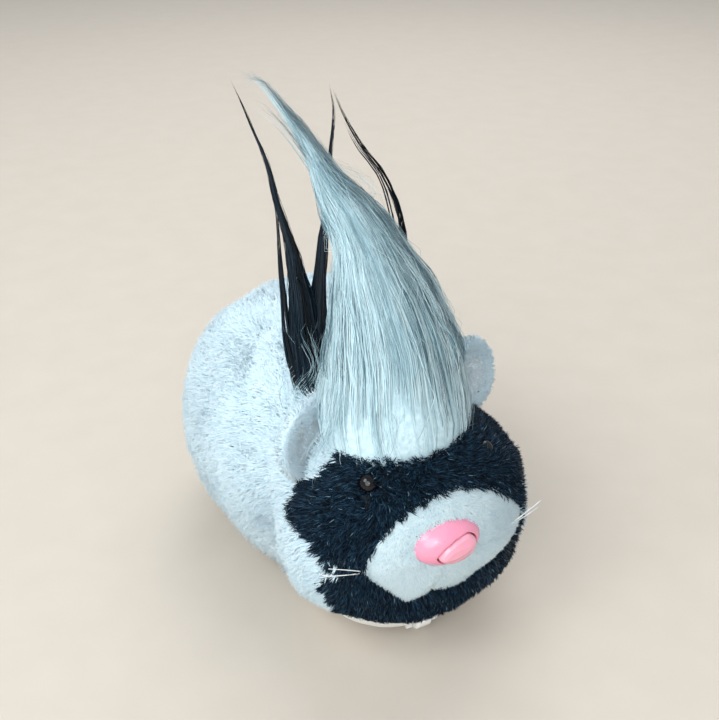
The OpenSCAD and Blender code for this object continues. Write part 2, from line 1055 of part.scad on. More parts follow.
module cover_form() {
    difference() {
        intersection() {
            plush_form();
            slab(hem_z, far);
        }
        shell_form();
        under_chin();
    }
}

module body_plush() {
    color(plush_white)
        difference() {
            cover_form();
            mask_region();
        }
}

module face_plush() {
    color(plush_black)
        difference() {
            intersection() {
                cover_form();
                mask_region();
            }
            muzzle_region();
            chin_notch();
            both_sides() {
                eye_form();
                whiskers();
            }
        }
}

module muzzle_plush() {
    bump_r = 33;
    bump_front_y = -59;
    color(plush_white)
        difference() {
            intersection() {
                union() {
                    plush_form();
                    translate([0, bump_front_y + bump_r, muzzle_z + 1])
                        sphere(r = bump_r, $fn = 96);
                }
                muzzle_region();
            }
            shell_form();
            bezel_form();
            stadium(button_r + button_gap + spigot_wall, button_x, shell_front_y - 1, spigot_end_y);
            both_sides()
                whiskers();
        }
}

// ---- Ears ----

module ear_frame(place) {
    translate(place[0])
        rotate([0, 0, place[1]])
            rotate([90 + place[2], 0, 0])
                children();
}

module ear(place) {
    color(plush_white)
        difference() {
            ear_frame(place)
                translate([0, 0, -ear_t / 2])
                    cylinder(r = ear_r, h = ear_t);
            plush_form();
        }
}

module ear_lining(place) {
    color(lining_tan)
        difference() {
            ear_frame(place)
                translate([0, 0, ear_t / 2])
                    cylinder(r = ear_r - 2.2, h = lining_t);
            plush_form();
        }
}

// Room for an ear and its lining in the hair
module ear_room(place) {
    gap = 0.2;
    ear_frame(place)
        translate([0, 0, -ear_t / 2 - gap])
            cylinder(r = ear_r + gap, h = ear_t + lining_t + 2 * gap);
}

module ear_left() {
    ear(ear_left_place);
}

module ear_right() {
    ear(ear_right_place);
}

module ear_lining_left() {
    ear_lining(ear_left_place);
}

module ear_lining_right() {
    ear_lining(ear_right_place);
}

// ---- Hair ----

// A lock of hair through a list of [x, y, z, radius], rooted on the head
module lock(points) {
    difference() {
        for (i = [0 : len(points) - 2])
            hull()
                for (p = [points[i], points[i + 1]])
                    translate([p[0], p[1], p[2]])
                        sphere(r = p[3], $fn = 24);
        plush_form();
        ear_room(ear_left_place);
        ear_room(ear_right_place);
    }
}

module hair_white() {
    color(hair_grey)
        lock([[-1.5, -32, 62, 20.2], [-2, -28, 80, 18.2], [-2.5, -21, 95, 13], [-4.5, -13, 107, 8],
            [-8, 3, 122, 2.6], [-12.7, 8, 132, 1.3], [-22.6, 8.5, 141.3, 0.7]]);
}

module hair_black_left() {
    color(plush_black)
        lock([[-17, -10, 60, 5.5], [-16.6, -7, 82, 4.2], [-16, 0, 100, 2], [-19, 9, 121.5, 0.9],
            [-24.3, 16, 139, 0.5]]);
}

module hair_black_middle() {
    color(plush_black)
        lock([[-8.5, -8.5, 64, 3.6], [-9.3, -3.6, 88, 2.8], [-3.7, 3, 108, 1.4], [-1, 6.2, 121, 0.8],
            [0, 9, 136, 0.5]]);
}

module hair_black_right() {
    color(plush_black)
        lock([[13, -9, 62, 4.5], [14, -4, 97, 2.2], [12.5, 0.5, 107, 1.4], [8, 5, 118.5, 0.9],
            [2.8, 9, 131, 0.5]]);
}

chassis_base();
upper_shell();
chassis_screws();
battery_door();
door_screw();
cell_left();
cell_right();
contact_plate_front();
contact_spring_front();
contact_link_rear();
gearbox_left();
gearbox_right();
gearbox_screws();
gear_pins();
motor();
motor_shaft();
motor_pinion();
first_gear();
second_gear();
axle_gear();
drive_axle();
drive_wheel_left();
drive_wheel_right();
tyre_left();
tyre_right();
front_wheel();
front_axle();
circuit_board();
chip_blob();
board_screws();
nose_switch();
nose_bezel();
nose_button();
nose_spring();
mode_switch();
mode_slider();
speaker();
speaker_ring();
speaker_screws();
motor_leads();
battery_leads();
speaker_leads();
eye_left();
eye_right();
whiskers_left();
whiskers_right();
body_plush();
face_plush();
muzzle_plush();
ear_left();
ear_right();
ear_lining_left();
ear_lining_right();
hair_white();
hair_black_left();
hair_black_middle();
hair_black_right();
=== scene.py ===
import math

import bmesh
import bpy
import numpy as np
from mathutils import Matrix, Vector
from mathutils.kdtree import KDTree


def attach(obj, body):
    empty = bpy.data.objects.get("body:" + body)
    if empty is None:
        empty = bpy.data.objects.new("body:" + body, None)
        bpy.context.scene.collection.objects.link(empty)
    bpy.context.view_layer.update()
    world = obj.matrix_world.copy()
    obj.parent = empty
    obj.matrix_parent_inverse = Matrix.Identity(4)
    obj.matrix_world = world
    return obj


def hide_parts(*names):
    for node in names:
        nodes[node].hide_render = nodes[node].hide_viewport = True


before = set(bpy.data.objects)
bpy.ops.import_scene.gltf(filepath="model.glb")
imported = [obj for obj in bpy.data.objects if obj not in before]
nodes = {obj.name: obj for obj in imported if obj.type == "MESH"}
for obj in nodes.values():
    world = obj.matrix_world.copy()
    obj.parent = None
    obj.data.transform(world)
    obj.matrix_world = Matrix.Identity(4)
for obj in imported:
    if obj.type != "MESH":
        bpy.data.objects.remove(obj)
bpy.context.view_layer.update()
rng = np.random.default_rng(7)

# Lengths are in millimetres up to the moment a mesh is made.
MM = 0.001

# The form of the plush, as in the CAD source.
AXIS_Z = 32.0
RUMP_R, HEAD_R = 41.0, 35.0
RUMP_L, FACE_L = 46.0, 33.0
RUMP_Y, HEAD_Y = 15.0, -23.5
RUMP_POWER, FACE_POWER = 2.6, 3.2
NOSE_Z = 38.5

# The hem is cut higher than in the CAD source, so that the front wheel and the base's edge show. It rises
# by HEM_RISE degrees in front of HEM_RISE_Y, and also outward from CHEEK_X on both sides.
HEM_Z, HEM_RISE_Y, HEM_RISE = 4.5, -30.0, 19.0
CHEEK_X, CHEEK_SLOPE = 6.5, 0.42

# The bead of the eye is sunk deeper than in the CAD source, and the mask's pile keeps clear of it.
EYE, EYE_R, EYE_CLEARING = np.array([16.4, -46.6, 54.5]), 2.5, 1.9

PILE_DEPTH = 2.7        # how far the skins lie inside the form
ROOT_DEPTH = 0.35       # how far a strand of pile starts inside its skin
FLOOR_CLEAR = 0.8       # lowest height of any strand of pile
NOSE_HOLE_Y, NOSE_HOLE_R = -50.0, 6.5


# ---------------------------------------------------------------- camera and light

def look_at(obj, target):
    obj.rotation_euler = (Vector(target) - obj.location).to_track_quat("-Z", "Y").to_euler()


def direction(azimuth, elevation):
    a, e = math.radians(azimuth), math.radians(elevation)
    return Vector((math.sin(a) * math.cos(e), -math.cos(a) * math.cos(e), math.sin(e)))


CAM_AZ, CAM_EL, CAM_DIST = -26.0, 29.1, 0.2838
CAM_TARGET = Vector((0.00476, 0.00184, 0.05898))
CAM_LENS = 49.95

cam_data = bpy.data.cameras.new("camera")
cam_data.sensor_fit = "HORIZONTAL"
cam_data.sensor_width = 36.0
cam_data.lens = CAM_LENS
cam_data.clip_start = 0.005
camera = bpy.data.objects.new("camera", cam_data)
bpy.context.scene.collection.objects.link(camera)
camera.location = CAM_TARGET + direction(CAM_AZ, CAM_EL) * CAM_DIST
look_at(camera, CAM_TARGET)
bpy.context.scene.camera = camera


def area_light(name, azimuth, elevation, distance, size, power, colour):
    data = bpy.data.lights.new(name, "AREA")
    data.shape = "DISK"
    data.size = size
    data.energy = power
    data.color = colour
    light = bpy.data.objects.new(name, data)
    bpy.context.scene.collection.objects.link(light)
    centre = Vector((0, 0, 0.04))
    light.location = centre + direction(azimuth, elevation) * distance
    look_at(light, centre)


area_light("key", -82, 47, 0.9, 0.5, 3.6, (0.97, 1.0, 1.0))
area_light("front", -38, 28, 1.1, 0.9, 7.6, (0.96, 0.99, 1.0))
area_light("glint", -22, 30, 0.9, 0.1, 0.35, (1.0, 1.0, 1.0))
area_light("top", 148, 52, 1.0, 0.8, 4.6, (1.0, 1.0, 1.0))

world = bpy.data.worlds.new("studio")
bpy.context.scene.world = world
world.use_nodes = True
world.node_tree.nodes["Background"].inputs["Color"].default_value = (0.86, 0.91, 0.96, 1)
world.node_tree.nodes["Background"].inputs["Strength"].default_value = 0.62
bpy.context.scene.view_settings.view_transform = "Standard"
bpy.context.scene.view_settings.exposure = 0.0


# ---------------------------------------------------------------- materials

def new_material(name):
    m = bpy.data.materials.new(name)
    m.use_nodes = True
    return m, m.node_tree, m.node_tree.nodes["Principled BSDF"]


def set_sockets(shader, **values):
    for key, value in values.items():
        shader.inputs[key.replace("_", " ")].default_value = value


def rgba(colour):
    return (colour[0], colour[1], colour[2], 1.0)


def fibre(name, colour, roughness=0.6, sheen=0.25, specular=0.35):
    """One plain colour of a pile or a hair, several of which are mixed strand by strand."""
    m, _, shader = new_material(name)
    set_sockets(shader, Roughness=roughness, Sheen_Weight=sheen, Sheen_Roughness=0.45)
    shader.inputs["Base Color"].default_value = rgba(colour)
    shader.inputs["Specular IOR Level"].default_value = specular
    return m


def textured(name, light, dark, roughness, scale, bump, metallic=0.0, coat=0.0, specular=0.5,
             rough_spread=0.08, sheen=0.0):
    """A material whose colour, roughness and bump come from noise in object space."""
    m, tree, shader = new_material(name)
    link, make = tree.links.new, tree.nodes.new
    place = make("ShaderNodeTexCoord")
    coarse = make("ShaderNodeTexNoise")
    coarse.inputs["Scale"].default_value = scale
    coarse.inputs["Detail"].default_value = 6.0
    link(place.outputs["Object"], coarse.inputs["Vector"])
    ramp = make("ShaderNodeValToRGB")
    ramp.color_ramp.elements[0].position = 0.32
    ramp.color_ramp.elements[0].color = rgba(dark)
    ramp.color_ramp.elements[1].position = 0.68
    ramp.color_ramp.elements[1].color = rgba(light)
    link(coarse.outputs["Fac"], ramp.inputs["Fac"])
    link(ramp.outputs["Color"], shader.inputs["Base Color"])
    rough = make("ShaderNodeMapRange")
    rough.inputs["To Min"].default_value = max(0.02, roughness - rough_spread)
    rough.inputs["To Max"].default_value = min(1.0, roughness + rough_spread)
    link(coarse.outputs["Fac"], rough.inputs["Value"])
    link(rough.outputs["Result"], shader.inputs["Roughness"])
    if bump:
        fine = make("ShaderNodeTexNoise")
        fine.inputs["Scale"].default_value = scale * 3.1
        fine.inputs["Detail"].default_value = 4.0
        link(place.outputs["Object"], fine.inputs["Vector"])
        relief = make("ShaderNodeBump")
        relief.inputs["Strength"].default_value = bump
        relief.inputs["Distance"].default_value = 0.0003
        link(fine.outputs["Fac"], relief.inputs["Height"])
        link(relief.outputs["Normal"], shader.inputs["Normal"])
    set_sockets(shader, Metallic=metallic, Coat_Weight=coat, Coat_Roughness=0.08, Sheen_Weight=sheen)
    shader.inputs["Specular IOR Level"].default_value = specular
    return m


WHITE_PILE = [fibre("pile_white_a", (0.68, 0.85, 0.93), 0.7, 0.1, 0.2),
              fibre("pile_white_b", (0.64, 0.82, 0.92), 0.7, 0.1, 0.2),
              fibre("pile_white_c", (0.73, 0.88, 0.94), 0.7, 0.1, 0.2),
              fibre("pile_white_d", (0.60, 0.79, 0.90), 0.7, 0.1, 0.2)]
# pile_black_a, pile_black_c and pile_black_d are blue-blacks: partly the fur's own blue-black, partly its
# blue sheen painted into the colour. pile_black_e is the fur's pale specks.
BLACK_PILE = [fibre("pile_black_a", (0.002, 0.012, 0.028), 0.6, 0.0, 0.14),
              fibre("pile_black_b", (0.001, 0.005, 0.010), 0.65, 0.0, 0.10),
              fibre("pile_black_c", (0.003, 0.022, 0.048), 0.55, 0.05, 0.2),
              fibre("pile_black_d", (0.005, 0.045, 0.085), 0.45, 0.1, 0.3),
              fibre("pile_black_e", (0.14, 0.25, 0.32), 0.5, 0.1, 0.4)]
MUZZLE_PILE = [fibre("pile_muzzle_a", (0.78, 0.93, 0.97), 0.75, 0.1, 0.2),
               fibre("pile_muzzle_b", (0.70, 0.88, 0.95), 0.75, 0.1, 0.2),
               fibre("pile_muzzle_c", (0.83, 0.95, 0.98), 0.75, 0.1, 0.2),
               fibre("pile_muzzle_d", (0.60, 0.80, 0.91), 0.75, 0.1, 0.2)]
# hair_white_d and hair_white_f are dark greys. Mixed in at random, they are the hair's own darker streaks.
# Chosen for clumps on the side away from the key light and for tuft_shade, they are painted shade.
WHITE_HAIR = [fibre("hair_white_a", (0.54, 0.76, 0.84), 0.55, 0.1, 0.3),
              fibre("hair_white_b", (0.64, 0.85, 0.92), 0.55, 0.1, 0.3),
              fibre("hair_white_c", (0.45, 0.67, 0.75), 0.55, 0.1, 0.3),
              fibre("hair_white_d", (0.27, 0.42, 0.48), 0.55, 0.1, 0.3),
              fibre("hair_white_e", (0.68, 0.84, 0.88), 0.5, 0.1, 0.35),
              fibre("hair_white_f", (0.13, 0.23, 0.28), 0.55, 0.05, 0.3)]
# hair_black_c is blue-black: partly the hair's own colour, partly its blue sheen painted into the colour.
BLACK_HAIR = [fibre("hair_black_a", (0.003, 0.009, 0.015), 0.45, 0.0, 0.25),
              fibre("hair_black_b", (0.006, 0.008, 0.011), 0.45, 0.0, 0.25),
              fibre("hair_black_c", (0.003, 0.018, 0.034), 0.4, 0.0, 0.35),
              fibre("hair_black_d", (0.018, 0.014, 0.013), 0.45, 0.0, 0.25)]
LINING_PILE = [fibre("pile_lining_a", (0.66, 0.78, 0.84), 0.75, 0.1, 0.2),
               fibre("pile_lining_b", (0.68, 0.74, 0.76), 0.75, 0.1, 0.2),
               fibre("pile_lining_c", (0.62, 0.76, 0.83), 0.75, 0.1, 0.2)]


# ---------------------------------------------------------------- helpers for meshes

def link_object(name, mesh):
    obj = bpy.data.objects.new(name, mesh)
    bpy.context.scene.collection.objects.link(obj)
    return obj


def unit(v):
    """v with its last axis scaled to length 1."""
    return v / np.maximum(np.linalg.norm(v, axis=-1, keepdims=True), 1e-12)


class Waves:
    """Smooth noise in space: a sum of plane waves with lengths near the given one."""

    COUNT = 9

    def __init__(self, length, outputs=1):
        d = unit(rng.normal(size=(self.COUNT, 3)))
        self.k = d * (2 * math.pi / (length * rng.uniform(0.7, 1.5, (self.COUNT, 1))))
        self.phase = rng.uniform(0, 2 * math.pi, (outputs, self.COUNT))
        self.gain = math.sqrt(2 / self.COUNT)

    def __call__(self, p):
        a = p @ self.k.T
        out = np.stack([np.sin(a + ph).sum(-1) * self.gain for ph in self.phase], -1)
        return out[..., 0] if len(self.phase) == 1 else out


def strand_mesh(name, paths, radii, materials, choice, normals, normal_share):
    """Closed three-sided tapering strands. paths is strands x points x 3, radii strands x points, in mm.

    Each strand is shaded by its own round form, mixed with the given normal by normal_share.
    """
    n, k = paths.shape[:2]
    tangents = unit(np.gradient(paths, axis=1))
    guide = unit(rng.normal(size=(n, 1, 3)))
    a = unit(np.cross(tangents, guide))
    b = np.cross(tangents, a)
    rings = k - 1
    turn = rng.uniform(0, 2 * math.pi, (n, 1, 1))
    spokes = []
    for s in range(3):
        angle = turn + s * 2 * math.pi / 3
        spokes.append(np.cos(angle) * a + np.sin(angle) * b)
    spokes = np.stack(spokes, 2)
    ring_points = paths[:, :rings, None, :] + spokes[:, :rings] * radii[:, :rings, None, None]
    verts = np.concatenate([ring_points.reshape(n, rings * 3, 3), paths[:, -1:, :]], 1)
    per = rings * 3 + 1
    sides = [(r * 3 + s, r * 3 + (s + 1) % 3, (r + 1) * 3 + (s + 1) % 3, (r + 1) * 3 + s)
             for r in range(rings - 1) for s in range(3)]
    tips = [((rings - 1) * 3 + s, (rings - 1) * 3 + (s + 1) % 3, rings * 3) for s in range(3)]
    pattern = [2, 1, 0] + [i for f in sides for i in f] + [i for f in tips for i in f]
    totals = [3] + [4] * len(sides) + [3] * len(tips)
    base = (np.arange(n) * per)[:, None]
    loops = (np.array(pattern)[None, :] + base).ravel()
    totals_all = np.tile(totals, n)
    starts = np.concatenate([[0], np.cumsum(totals_all)[:-1]])
    mesh = bpy.data.meshes.new(name)
    mesh.vertices.add(n * per)
    mesh.vertices.foreach_set("co", (verts * MM).astype(np.float32).ravel())
    mesh.loops.add(len(loops))
    mesh.loops.foreach_set("vertex_index", loops.astype(np.int32))
    mesh.polygons.add(len(totals_all))
    mesh.polygons.foreach_set("loop_start", starts.astype(np.int32))
    mesh.polygons.foreach_set("loop_total", totals_all.astype(np.int32))
    mesh.polygons.foreach_set("material_index", np.repeat(choice, len(totals)).astype(np.int32))
    mesh.polygons.foreach_set("use_smooth", np.ones(len(totals_all), bool))
    for m in materials:
        mesh.materials.append(m)
    mesh.update(calc_edges=True)
    own = np.concatenate([spokes[:, :rings].reshape(n, rings * 3, 3), tangents[:, -1:, :]], 1)
    mixed = unit(own * (1 - normal_share) + normals[:, None, :] * normal_share)
    mesh.normals_split_custom_set_from_vertices(mixed.reshape(-1, 3).astype(np.float32))
    return link_object(name, mesh)


def pick(n, weights):
    """n random indices into a list of materials, by their weights."""
    w = np.array(weights, float)
    return rng.choice(len(w), size=n, p=w / w.sum())


def grid_mesh(name, points, material):
    """A mesh over rows of points, in mm. Each row is a closed ring."""
    rows, cols = points.shape[:2]
    mesh = bpy.data.meshes.new(name)
    faces = []
    for i in range(rows - 1):
        for j in range(cols):
            j2 = (j + 1) % cols
            faces.append((i * cols + j, i * cols + j2, (i + 1) * cols + j2, (i + 1) * cols + j))
    mesh.from_pydata((points.reshape(-1, 3) * MM).tolist(), [], faces)
    mesh.materials.append(material)
    mesh.update()
    mesh.polygons.foreach_set("use_smooth", np.ones(len(mesh.polygons), bool))
    return link_object(name, mesh)


def clean(obj, distance=1e-6):
    """Joins doubled points, drops faces without area and turns every normal outward."""
    bm = bmesh.new()
    bm.from_mesh(obj.data)
    bmesh.ops.remove_doubles(bm, verts=bm.verts, dist=distance)
    bmesh.ops.dissolve_degenerate(bm, edges=bm.edges, dist=distance / 10)
    bmesh.ops.recalc_face_normals(bm, faces=bm.faces)
    bm.to_mesh(obj.data)
    bm.free()
    obj.data.polygons.foreach_set("use_smooth", np.ones(len(obj.data.polygons), bool))
    obj.data.update()
    return obj


def turns(cols):
    """Angles of a ring of cols points."""
    return np.arange(cols) * 2 * math.pi / cols


def tube(name, points, radii, material, sides):
    """A closed round tube along points, in mm."""
    t = unit(np.gradient(points, axis=0))
    guide = np.array([0.31, 0.17, 0.93])
    a = unit(np.cross(t, guide))
    b = np.cross(t, a)
    angle = turns(sides)
    ring = (points[:, None] + radii[:, None, None]
            * (np.cos(angle)[None, :, None] * a[:, None] + np.sin(angle)[None, :, None] * b[:, None]))
    ends = [np.repeat(points[:1, None], sides, 1), ring, np.repeat(points[-1:, None], sides, 1)]
    return clean(grid_mesh(name, np.concatenate(ends, 0), material))


def finish_piece(obj, body="toy", replaces=()):
    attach(obj, body)
    if replaces:
        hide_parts(*replaces)
    return obj


def strand_pieces(name, order, parts, paths, radii, materials, choice, normals, normal_share,
                  replaces=()):
    """Makes strands into as many pieces as parts, in the given order. The first one replaces the nodes."""
    made = []
    for i, part in enumerate(np.array_split(order, parts)):
        label = name if parts == 1 else f"{name}_{i + 1}"
        made.append(strand_mesh(label, paths[part], radii[part], materials, choice[part],
                                normals[part], normal_share))
    for i, obj in enumerate(made):
        finish_piece(obj, replaces=replaces if i == 0 else ())
    return made


# ---------------------------------------------------------------- the plush form

def outline(t):
    """Radius and y of the plush form, t from 0 at the tail to 3 at the front of the face."""
    t = np.asarray(t, float)
    a = np.clip(t, 0, 1) * math.pi / 2
    r0 = RUMP_R * np.sin(a) ** (2 / RUMP_POWER)
    y0 = RUMP_Y + RUMP_L * np.maximum(np.cos(a), 0) ** (2 / RUMP_POWER)
    s = np.clip(t - 1, 0, 1)
    r1 = RUMP_R + (HEAD_R - RUMP_R) * (1 - np.cos(math.pi * s)) / 2
    y1 = RUMP_Y + (HEAD_Y - RUMP_Y) * s
    c = np.clip(t - 2, 0, 1) * math.pi / 2
    r2 = HEAD_R * np.maximum(np.cos(c), 0) ** (2 / FACE_POWER)
    y2 = HEAD_Y - FACE_L * np.sin(c) ** (2 / FACE_POWER)
    return np.where(t < 1, r0, np.where(t < 2, r1, r2)), np.where(t < 1, y0, np.where(t < 2, y1, y2))


lumps = Waves(34)
ripples = Waves(11)


def neck_crease(p):
    """Depth of the soft crease where the head cover is sewn to the body cover."""
    seam_y = np.interp(p[..., 2], [20, 33, 47, 54, 60, 70], [-27, -23, -16, -7, 6, 16])
    depth = np.exp(-((p[..., 1] - seam_y) / 3.6) ** 2)
    return 2.0 * depth * np.clip((p[..., 2] - 8) / 14, 0, 1)


def grid_normals(p):
    """Normals of a grid of closed rings, not yet turned outward."""
    du = np.gradient(p, axis=0)
    dv = (np.roll(p, -1, 1) - np.roll(p, 1, 1)) / 2
    return unit(np.cross(du, dv))


def form_grid(rows, cols, inset):
    """Points and outward normals of the plush form, set in by inset, with its soft lumps."""
    t = np.linspace(0, 3, rows)
    t = 1.5 + (t - 1.5) * 0.9993        # just short of both poles, where a ring would close to a point
    r, y = outline(t)
    angle = turns(cols)
    p = np.stack([r[:, None] * np.cos(angle), np.repeat(y[:, None], cols, 1),
                  AXIS_Z + r[:, None] * np.sin(angle)], -1)
    n = grid_normals(p)
    centre = np.array([0, 0, AXIS_Z])
    flip = np.sign(((p - centre) * n).sum(-1, keepdims=True))
    n = n * np.where(flip == 0, 1, flip)
    soft = lumps(p) * 0.55 + ripples(p) * 0.22 - neck_crease(p)
    return p + n * (soft[..., None] - inset), n


def sample_grid(p, n, count, keep):
    """Random points and normals on a grid surface, evenly by area, where keep says so."""
    q = np.roll(p, -1, 1)
    a, b, c, d = p[:-1], q[:-1], q[1:], p[1:]
    m = np.roll(n, -1, 1)
    na, nb, nc, nd = n[:-1], m[:-1], m[1:], n[1:]
    area = (np.linalg.norm(np.cross(b - a, d - a), axis=-1)
            + np.linalg.norm(np.cross(c - b, c - d), axis=-1)) / 2
    middle = (a + b + c + d) / 4
    area = area * keep(middle, wide=True)
    flat = area.ravel()
    cell = rng.choice(len(flat), size=count, p=flat / flat.sum())
    u, v = rng.random((2, count, 1))

    def mix(w, x, y, z):
        w, x, y, z = (k.reshape(-1, 3)[cell] for k in (w, x, y, z))
        return (w * (1 - u) + x * u) * (1 - v) + (z * (1 - u) + y * u) * v

    points, normals = mix(a, b, c, d), unit(mix(na, nb, nc, nd))
    good = keep(points) > 0.5
    return points[good], normals[good]


jag = Waves(7)
fine_jag = Waves(2.2)

MUZZLE_CENTRE = (1.5, 35.8)
MUZZLE_EDGE = np.array([(-21, 34.5), (-17, 40), (-11, 46), (-4, 49.8), (3, 50.4), (11, 48.2), (19, 42.8),
                        (25, 35.6), (25, 31.5), (20, 27), (11, 24.4), (3, 21.8), (-3.5, 23.6), (-9.5, 21),
                        (-14, 26), (-18, 30)], float) - MUZZLE_CENTRE
MUZZLE_ANGLE = np.arctan2(MUZZLE_EDGE[:, 1], MUZZLE_EDGE[:, 0])
MUZZLE_REACH = np.hypot(MUZZLE_EDGE[:, 0], MUZZLE_EDGE[:, 1])


def muzzle_outline(x, z):
    """Below 1 inside the pale muzzle patch: seen from the front, a leaf with a corner at each side."""
    u, w = x - MUZZLE_CENTRE[0], z - MUZZLE_CENTRE[1]
    return np.hypot(u, w) / np.interp(np.arctan2(w, u), MUZZLE_ANGLE, MUZZLE_REACH, period=2 * math.pi)


# How far back the mask reaches, as pairs of height and y, and how much further on the toy's left side.
MASK_BACK = [(0, -43), (5, -44), (10, -45.5), (14, -47), (19, -47.5), (24, -47.5), (27, -47), (33, -48.5),
             (37, -47), (40, -41.5), (42.5, -34.5), (48, -32), (51, -34.5), (57, -37), (60, -38)]
MASK_BACK_LEFT = [(36, 0), (44, 3), (52, 9), (60, 11), (66, 5)]

# Where no black pile grows: on the muzzle's patch, under the root of the tuft and over the eyes.
PATCH_BACK_Y = -30
TUFT_X, TUFT_Y, TUFT_HALF_W, TUFT_HALF_L, TUFT_LOW_Z = -1.8, -32, 17, 15.5, 54
MARGIN = 3.0        # how far the wide test of a region goes past its edge


def mask_edge(p):
    """Above 0 inside the black mask. The mask is widest beside the eyes and narrows under the cheeks."""
    x, y, z = p[..., 0], p[..., 1], p[..., 2]
    back = np.interp(z, *zip(*MASK_BACK))
    back = back + np.clip((x - 4) / 12, 0, 1) * np.interp(z, *zip(*MASK_BACK_LEFT))
    return (back - y) + jag(p) * 1.0 + fine_jag(p) * 0.7


def hem(p):
    """Height of the hem, which rises under the chin and towards the cheeks."""
    front = (HEM_RISE_Y - p[..., 1]) * math.tan(math.radians(HEM_RISE))
    cheek = front + (np.abs(p[..., 0]) - CHEEK_X) * CHEEK_SLOPE
    return HEM_Z + np.maximum(np.maximum(front, cheek), 0)


def in_body(p, wide=False):
    """1 where the pale pile grows. wide says whether a cell of the grid may hold such a place."""
    margin = MARGIN if wide else 0.0
    return ((p[..., 2] > hem(p) - margin) & (mask_edge(p) < margin)).astype(float)


def in_mask(p, wide=False):
    """1 where the black pile grows: not on the muzzle, under the tuft's root or over an eye."""
    margin = MARGIN if wide else 0.0
    x, y, z = p[..., 0], p[..., 1], p[..., 2]
    on_patch = (muzzle_outline(x, z) < (0.9 if wide else 1.0)) & (y < PATCH_BACK_Y)
    under_tuft = (np.hypot((x - TUFT_X) / TUFT_HALF_W, (y - TUFT_Y) / TUFT_HALF_L) < 1) & (z > TUFT_LOW_Z)
    from_eye = np.linalg.norm(np.abs(p) * (1, 0, 1) + p * (0, 1, 0) - EYE, axis=-1)
    over_eye = from_eye < (1.0 if wide else EYE_CLEARING)
    kept = (z > hem(p) - margin) & (mask_edge(p) >= -margin)
    return (kept & ~on_patch & ~under_tuft & ~over_eye).astype(float)


def comb(p, n, down, back):
    """The way the pile lies: back along the body and down its sides."""
    d = np.stack([np.zeros(len(p)), np.full(len(p), back), np.full(len(p), -down)], -1)
    return d - (d * n).sum(-1, keepdims=True) * n


swirl = Waves(16, outputs=3)
tuft_swirl = Waves(4.0, outputs=3)

# Pile hangs below the hem by PILE_HANG, and only by CHIN_HANG in front of CHIN_Y, where the wheel shows.
PILE_HANG, CHIN_HANG, CHIN_Y = 2.6, 0.6, -34


def pile(name, roots, normals, length, radius, materials, weights, lean, clump, clump_share,
         spread=0.25, points=3, parts=1, normal_share=0.85):
    """Short pile: strands that start on a skin, lean with the comb and gather into small tufts.

    clump is the number of strands in a tuft, clump_share how far their tips close up to its leader's tip.
    """
    count = len(roots)
    lean = lean + swirl(roots) * 0.22 + tuft_swirl(roots) * 0.16
    lean = lean - (lean * normals).sum(-1, keepdims=True) * normals
    wander = rng.normal(size=(count, 3)) * spread
    size = length * rng.uniform(0.72, 1.15, (count, 1))
    tips = roots + unit(normals * 0.9 + lean + wander) * size
    number = max(1, count // clump)
    leaders = rng.choice(count, number, replace=False)
    tree = KDTree(number)
    for i, k in enumerate(leaders):
        tree.insert(roots[k], i)
    tree.balance()
    own = np.array([tree.find(r)[1] for r in roots])
    share = clump_share * rng.uniform(0.5, 1.1, (count, 1))
    tips = tips * (1 - share) + tips[leaders[own]] * share
    tips[:, 2] = np.maximum(tips[:, 2], hem(tips) - np.where(tips[:, 1] < CHIN_Y, CHIN_HANG, PILE_HANG))
    t = np.linspace(0, 1, points)[None, :, None]
    middle = roots + normals * size * 0.5 + (tips - roots) * 0.2
    paths = (1 - t) ** 2 * roots[:, None] + 2 * t * (1 - t) * middle[:, None] + t ** 2 * tips[:, None]
    paths[:, 0] -= normals * ROOT_DEPTH
    paths[..., 2] = np.maximum(paths[..., 2], FLOOR_CLEAR)
    profile = np.linspace(1, 0, points) ** 0.45
    radii = radius * rng.uniform(0.75, 1.2, (count, 1)) * profile[None, :]
    choice = pick(count, weights)
    order = np.argsort(roots[:, 1])
    return strand_pieces(name, order, parts, paths, radii, materials, choice, normals, normal_share)


# ---------------------------------------------------------------- skins and pile of body and mask

skin_points, skin_normals = form_grid(150, 140, PILE_DEPTH)

body_cloth = textured("cloth_body", (0.80, 0.90, 0.95), (0.66, 0.80, 0.89), 0.85, 900, 0.3, sheen=0.3)
mask_cloth = textured("cloth_mask", (0.010, 0.020, 0.030), (0.004, 0.008, 0.014), 0.8, 900, 0.3)


def cut(bm, point, normal):
    """Removes what lies on the side of a plane that its normal points to. point is in mm."""
    bmesh.ops.bisect_plane(bm, geom=bm.verts[:] + bm.edges[:] + bm.faces[:], dist=1e-7,
                           plane_co=[c * MM for c in point], plane_no=normal, clear_outer=True)


def skin_piece(name, inside, material, thickness):
    """The knitted backing of the pile, as a thin closed cover that ends at the hem."""
    obj = grid_mesh(name, skin_points, material)
    bm = bmesh.new()
    bm.from_mesh(obj.data)
    cut(bm, (0, 0, HEM_Z), (0, 0, -1))
    slope = math.tan(math.radians(HEM_RISE))
    for side in (0, -1, 1):
        cut(bm, (side * CHEEK_X, HEM_RISE_Y, HEM_Z), unit(np.array([side * CHEEK_SLOPE, -slope, -1.0])))
    gone = [f for f in bm.faces if inside(np.array(f.calc_center_median()) / MM) <= 0]
    bmesh.ops.delete(bm, geom=gone, context="FACES")
    bmesh.ops.recalc_face_normals(bm, faces=bm.faces)
    bm.to_mesh(obj.data)
    bm.free()
    solid = obj.modifiers.new("thickness", "SOLIDIFY")
    solid.thickness = thickness * MM
    solid.offset = -1.0
    return obj


def in_nose_hole(p):
    return p[1] < NOSE_HOLE_Y and math.hypot(p[0], p[2] - NOSE_Z) < NOSE_HOLE_R


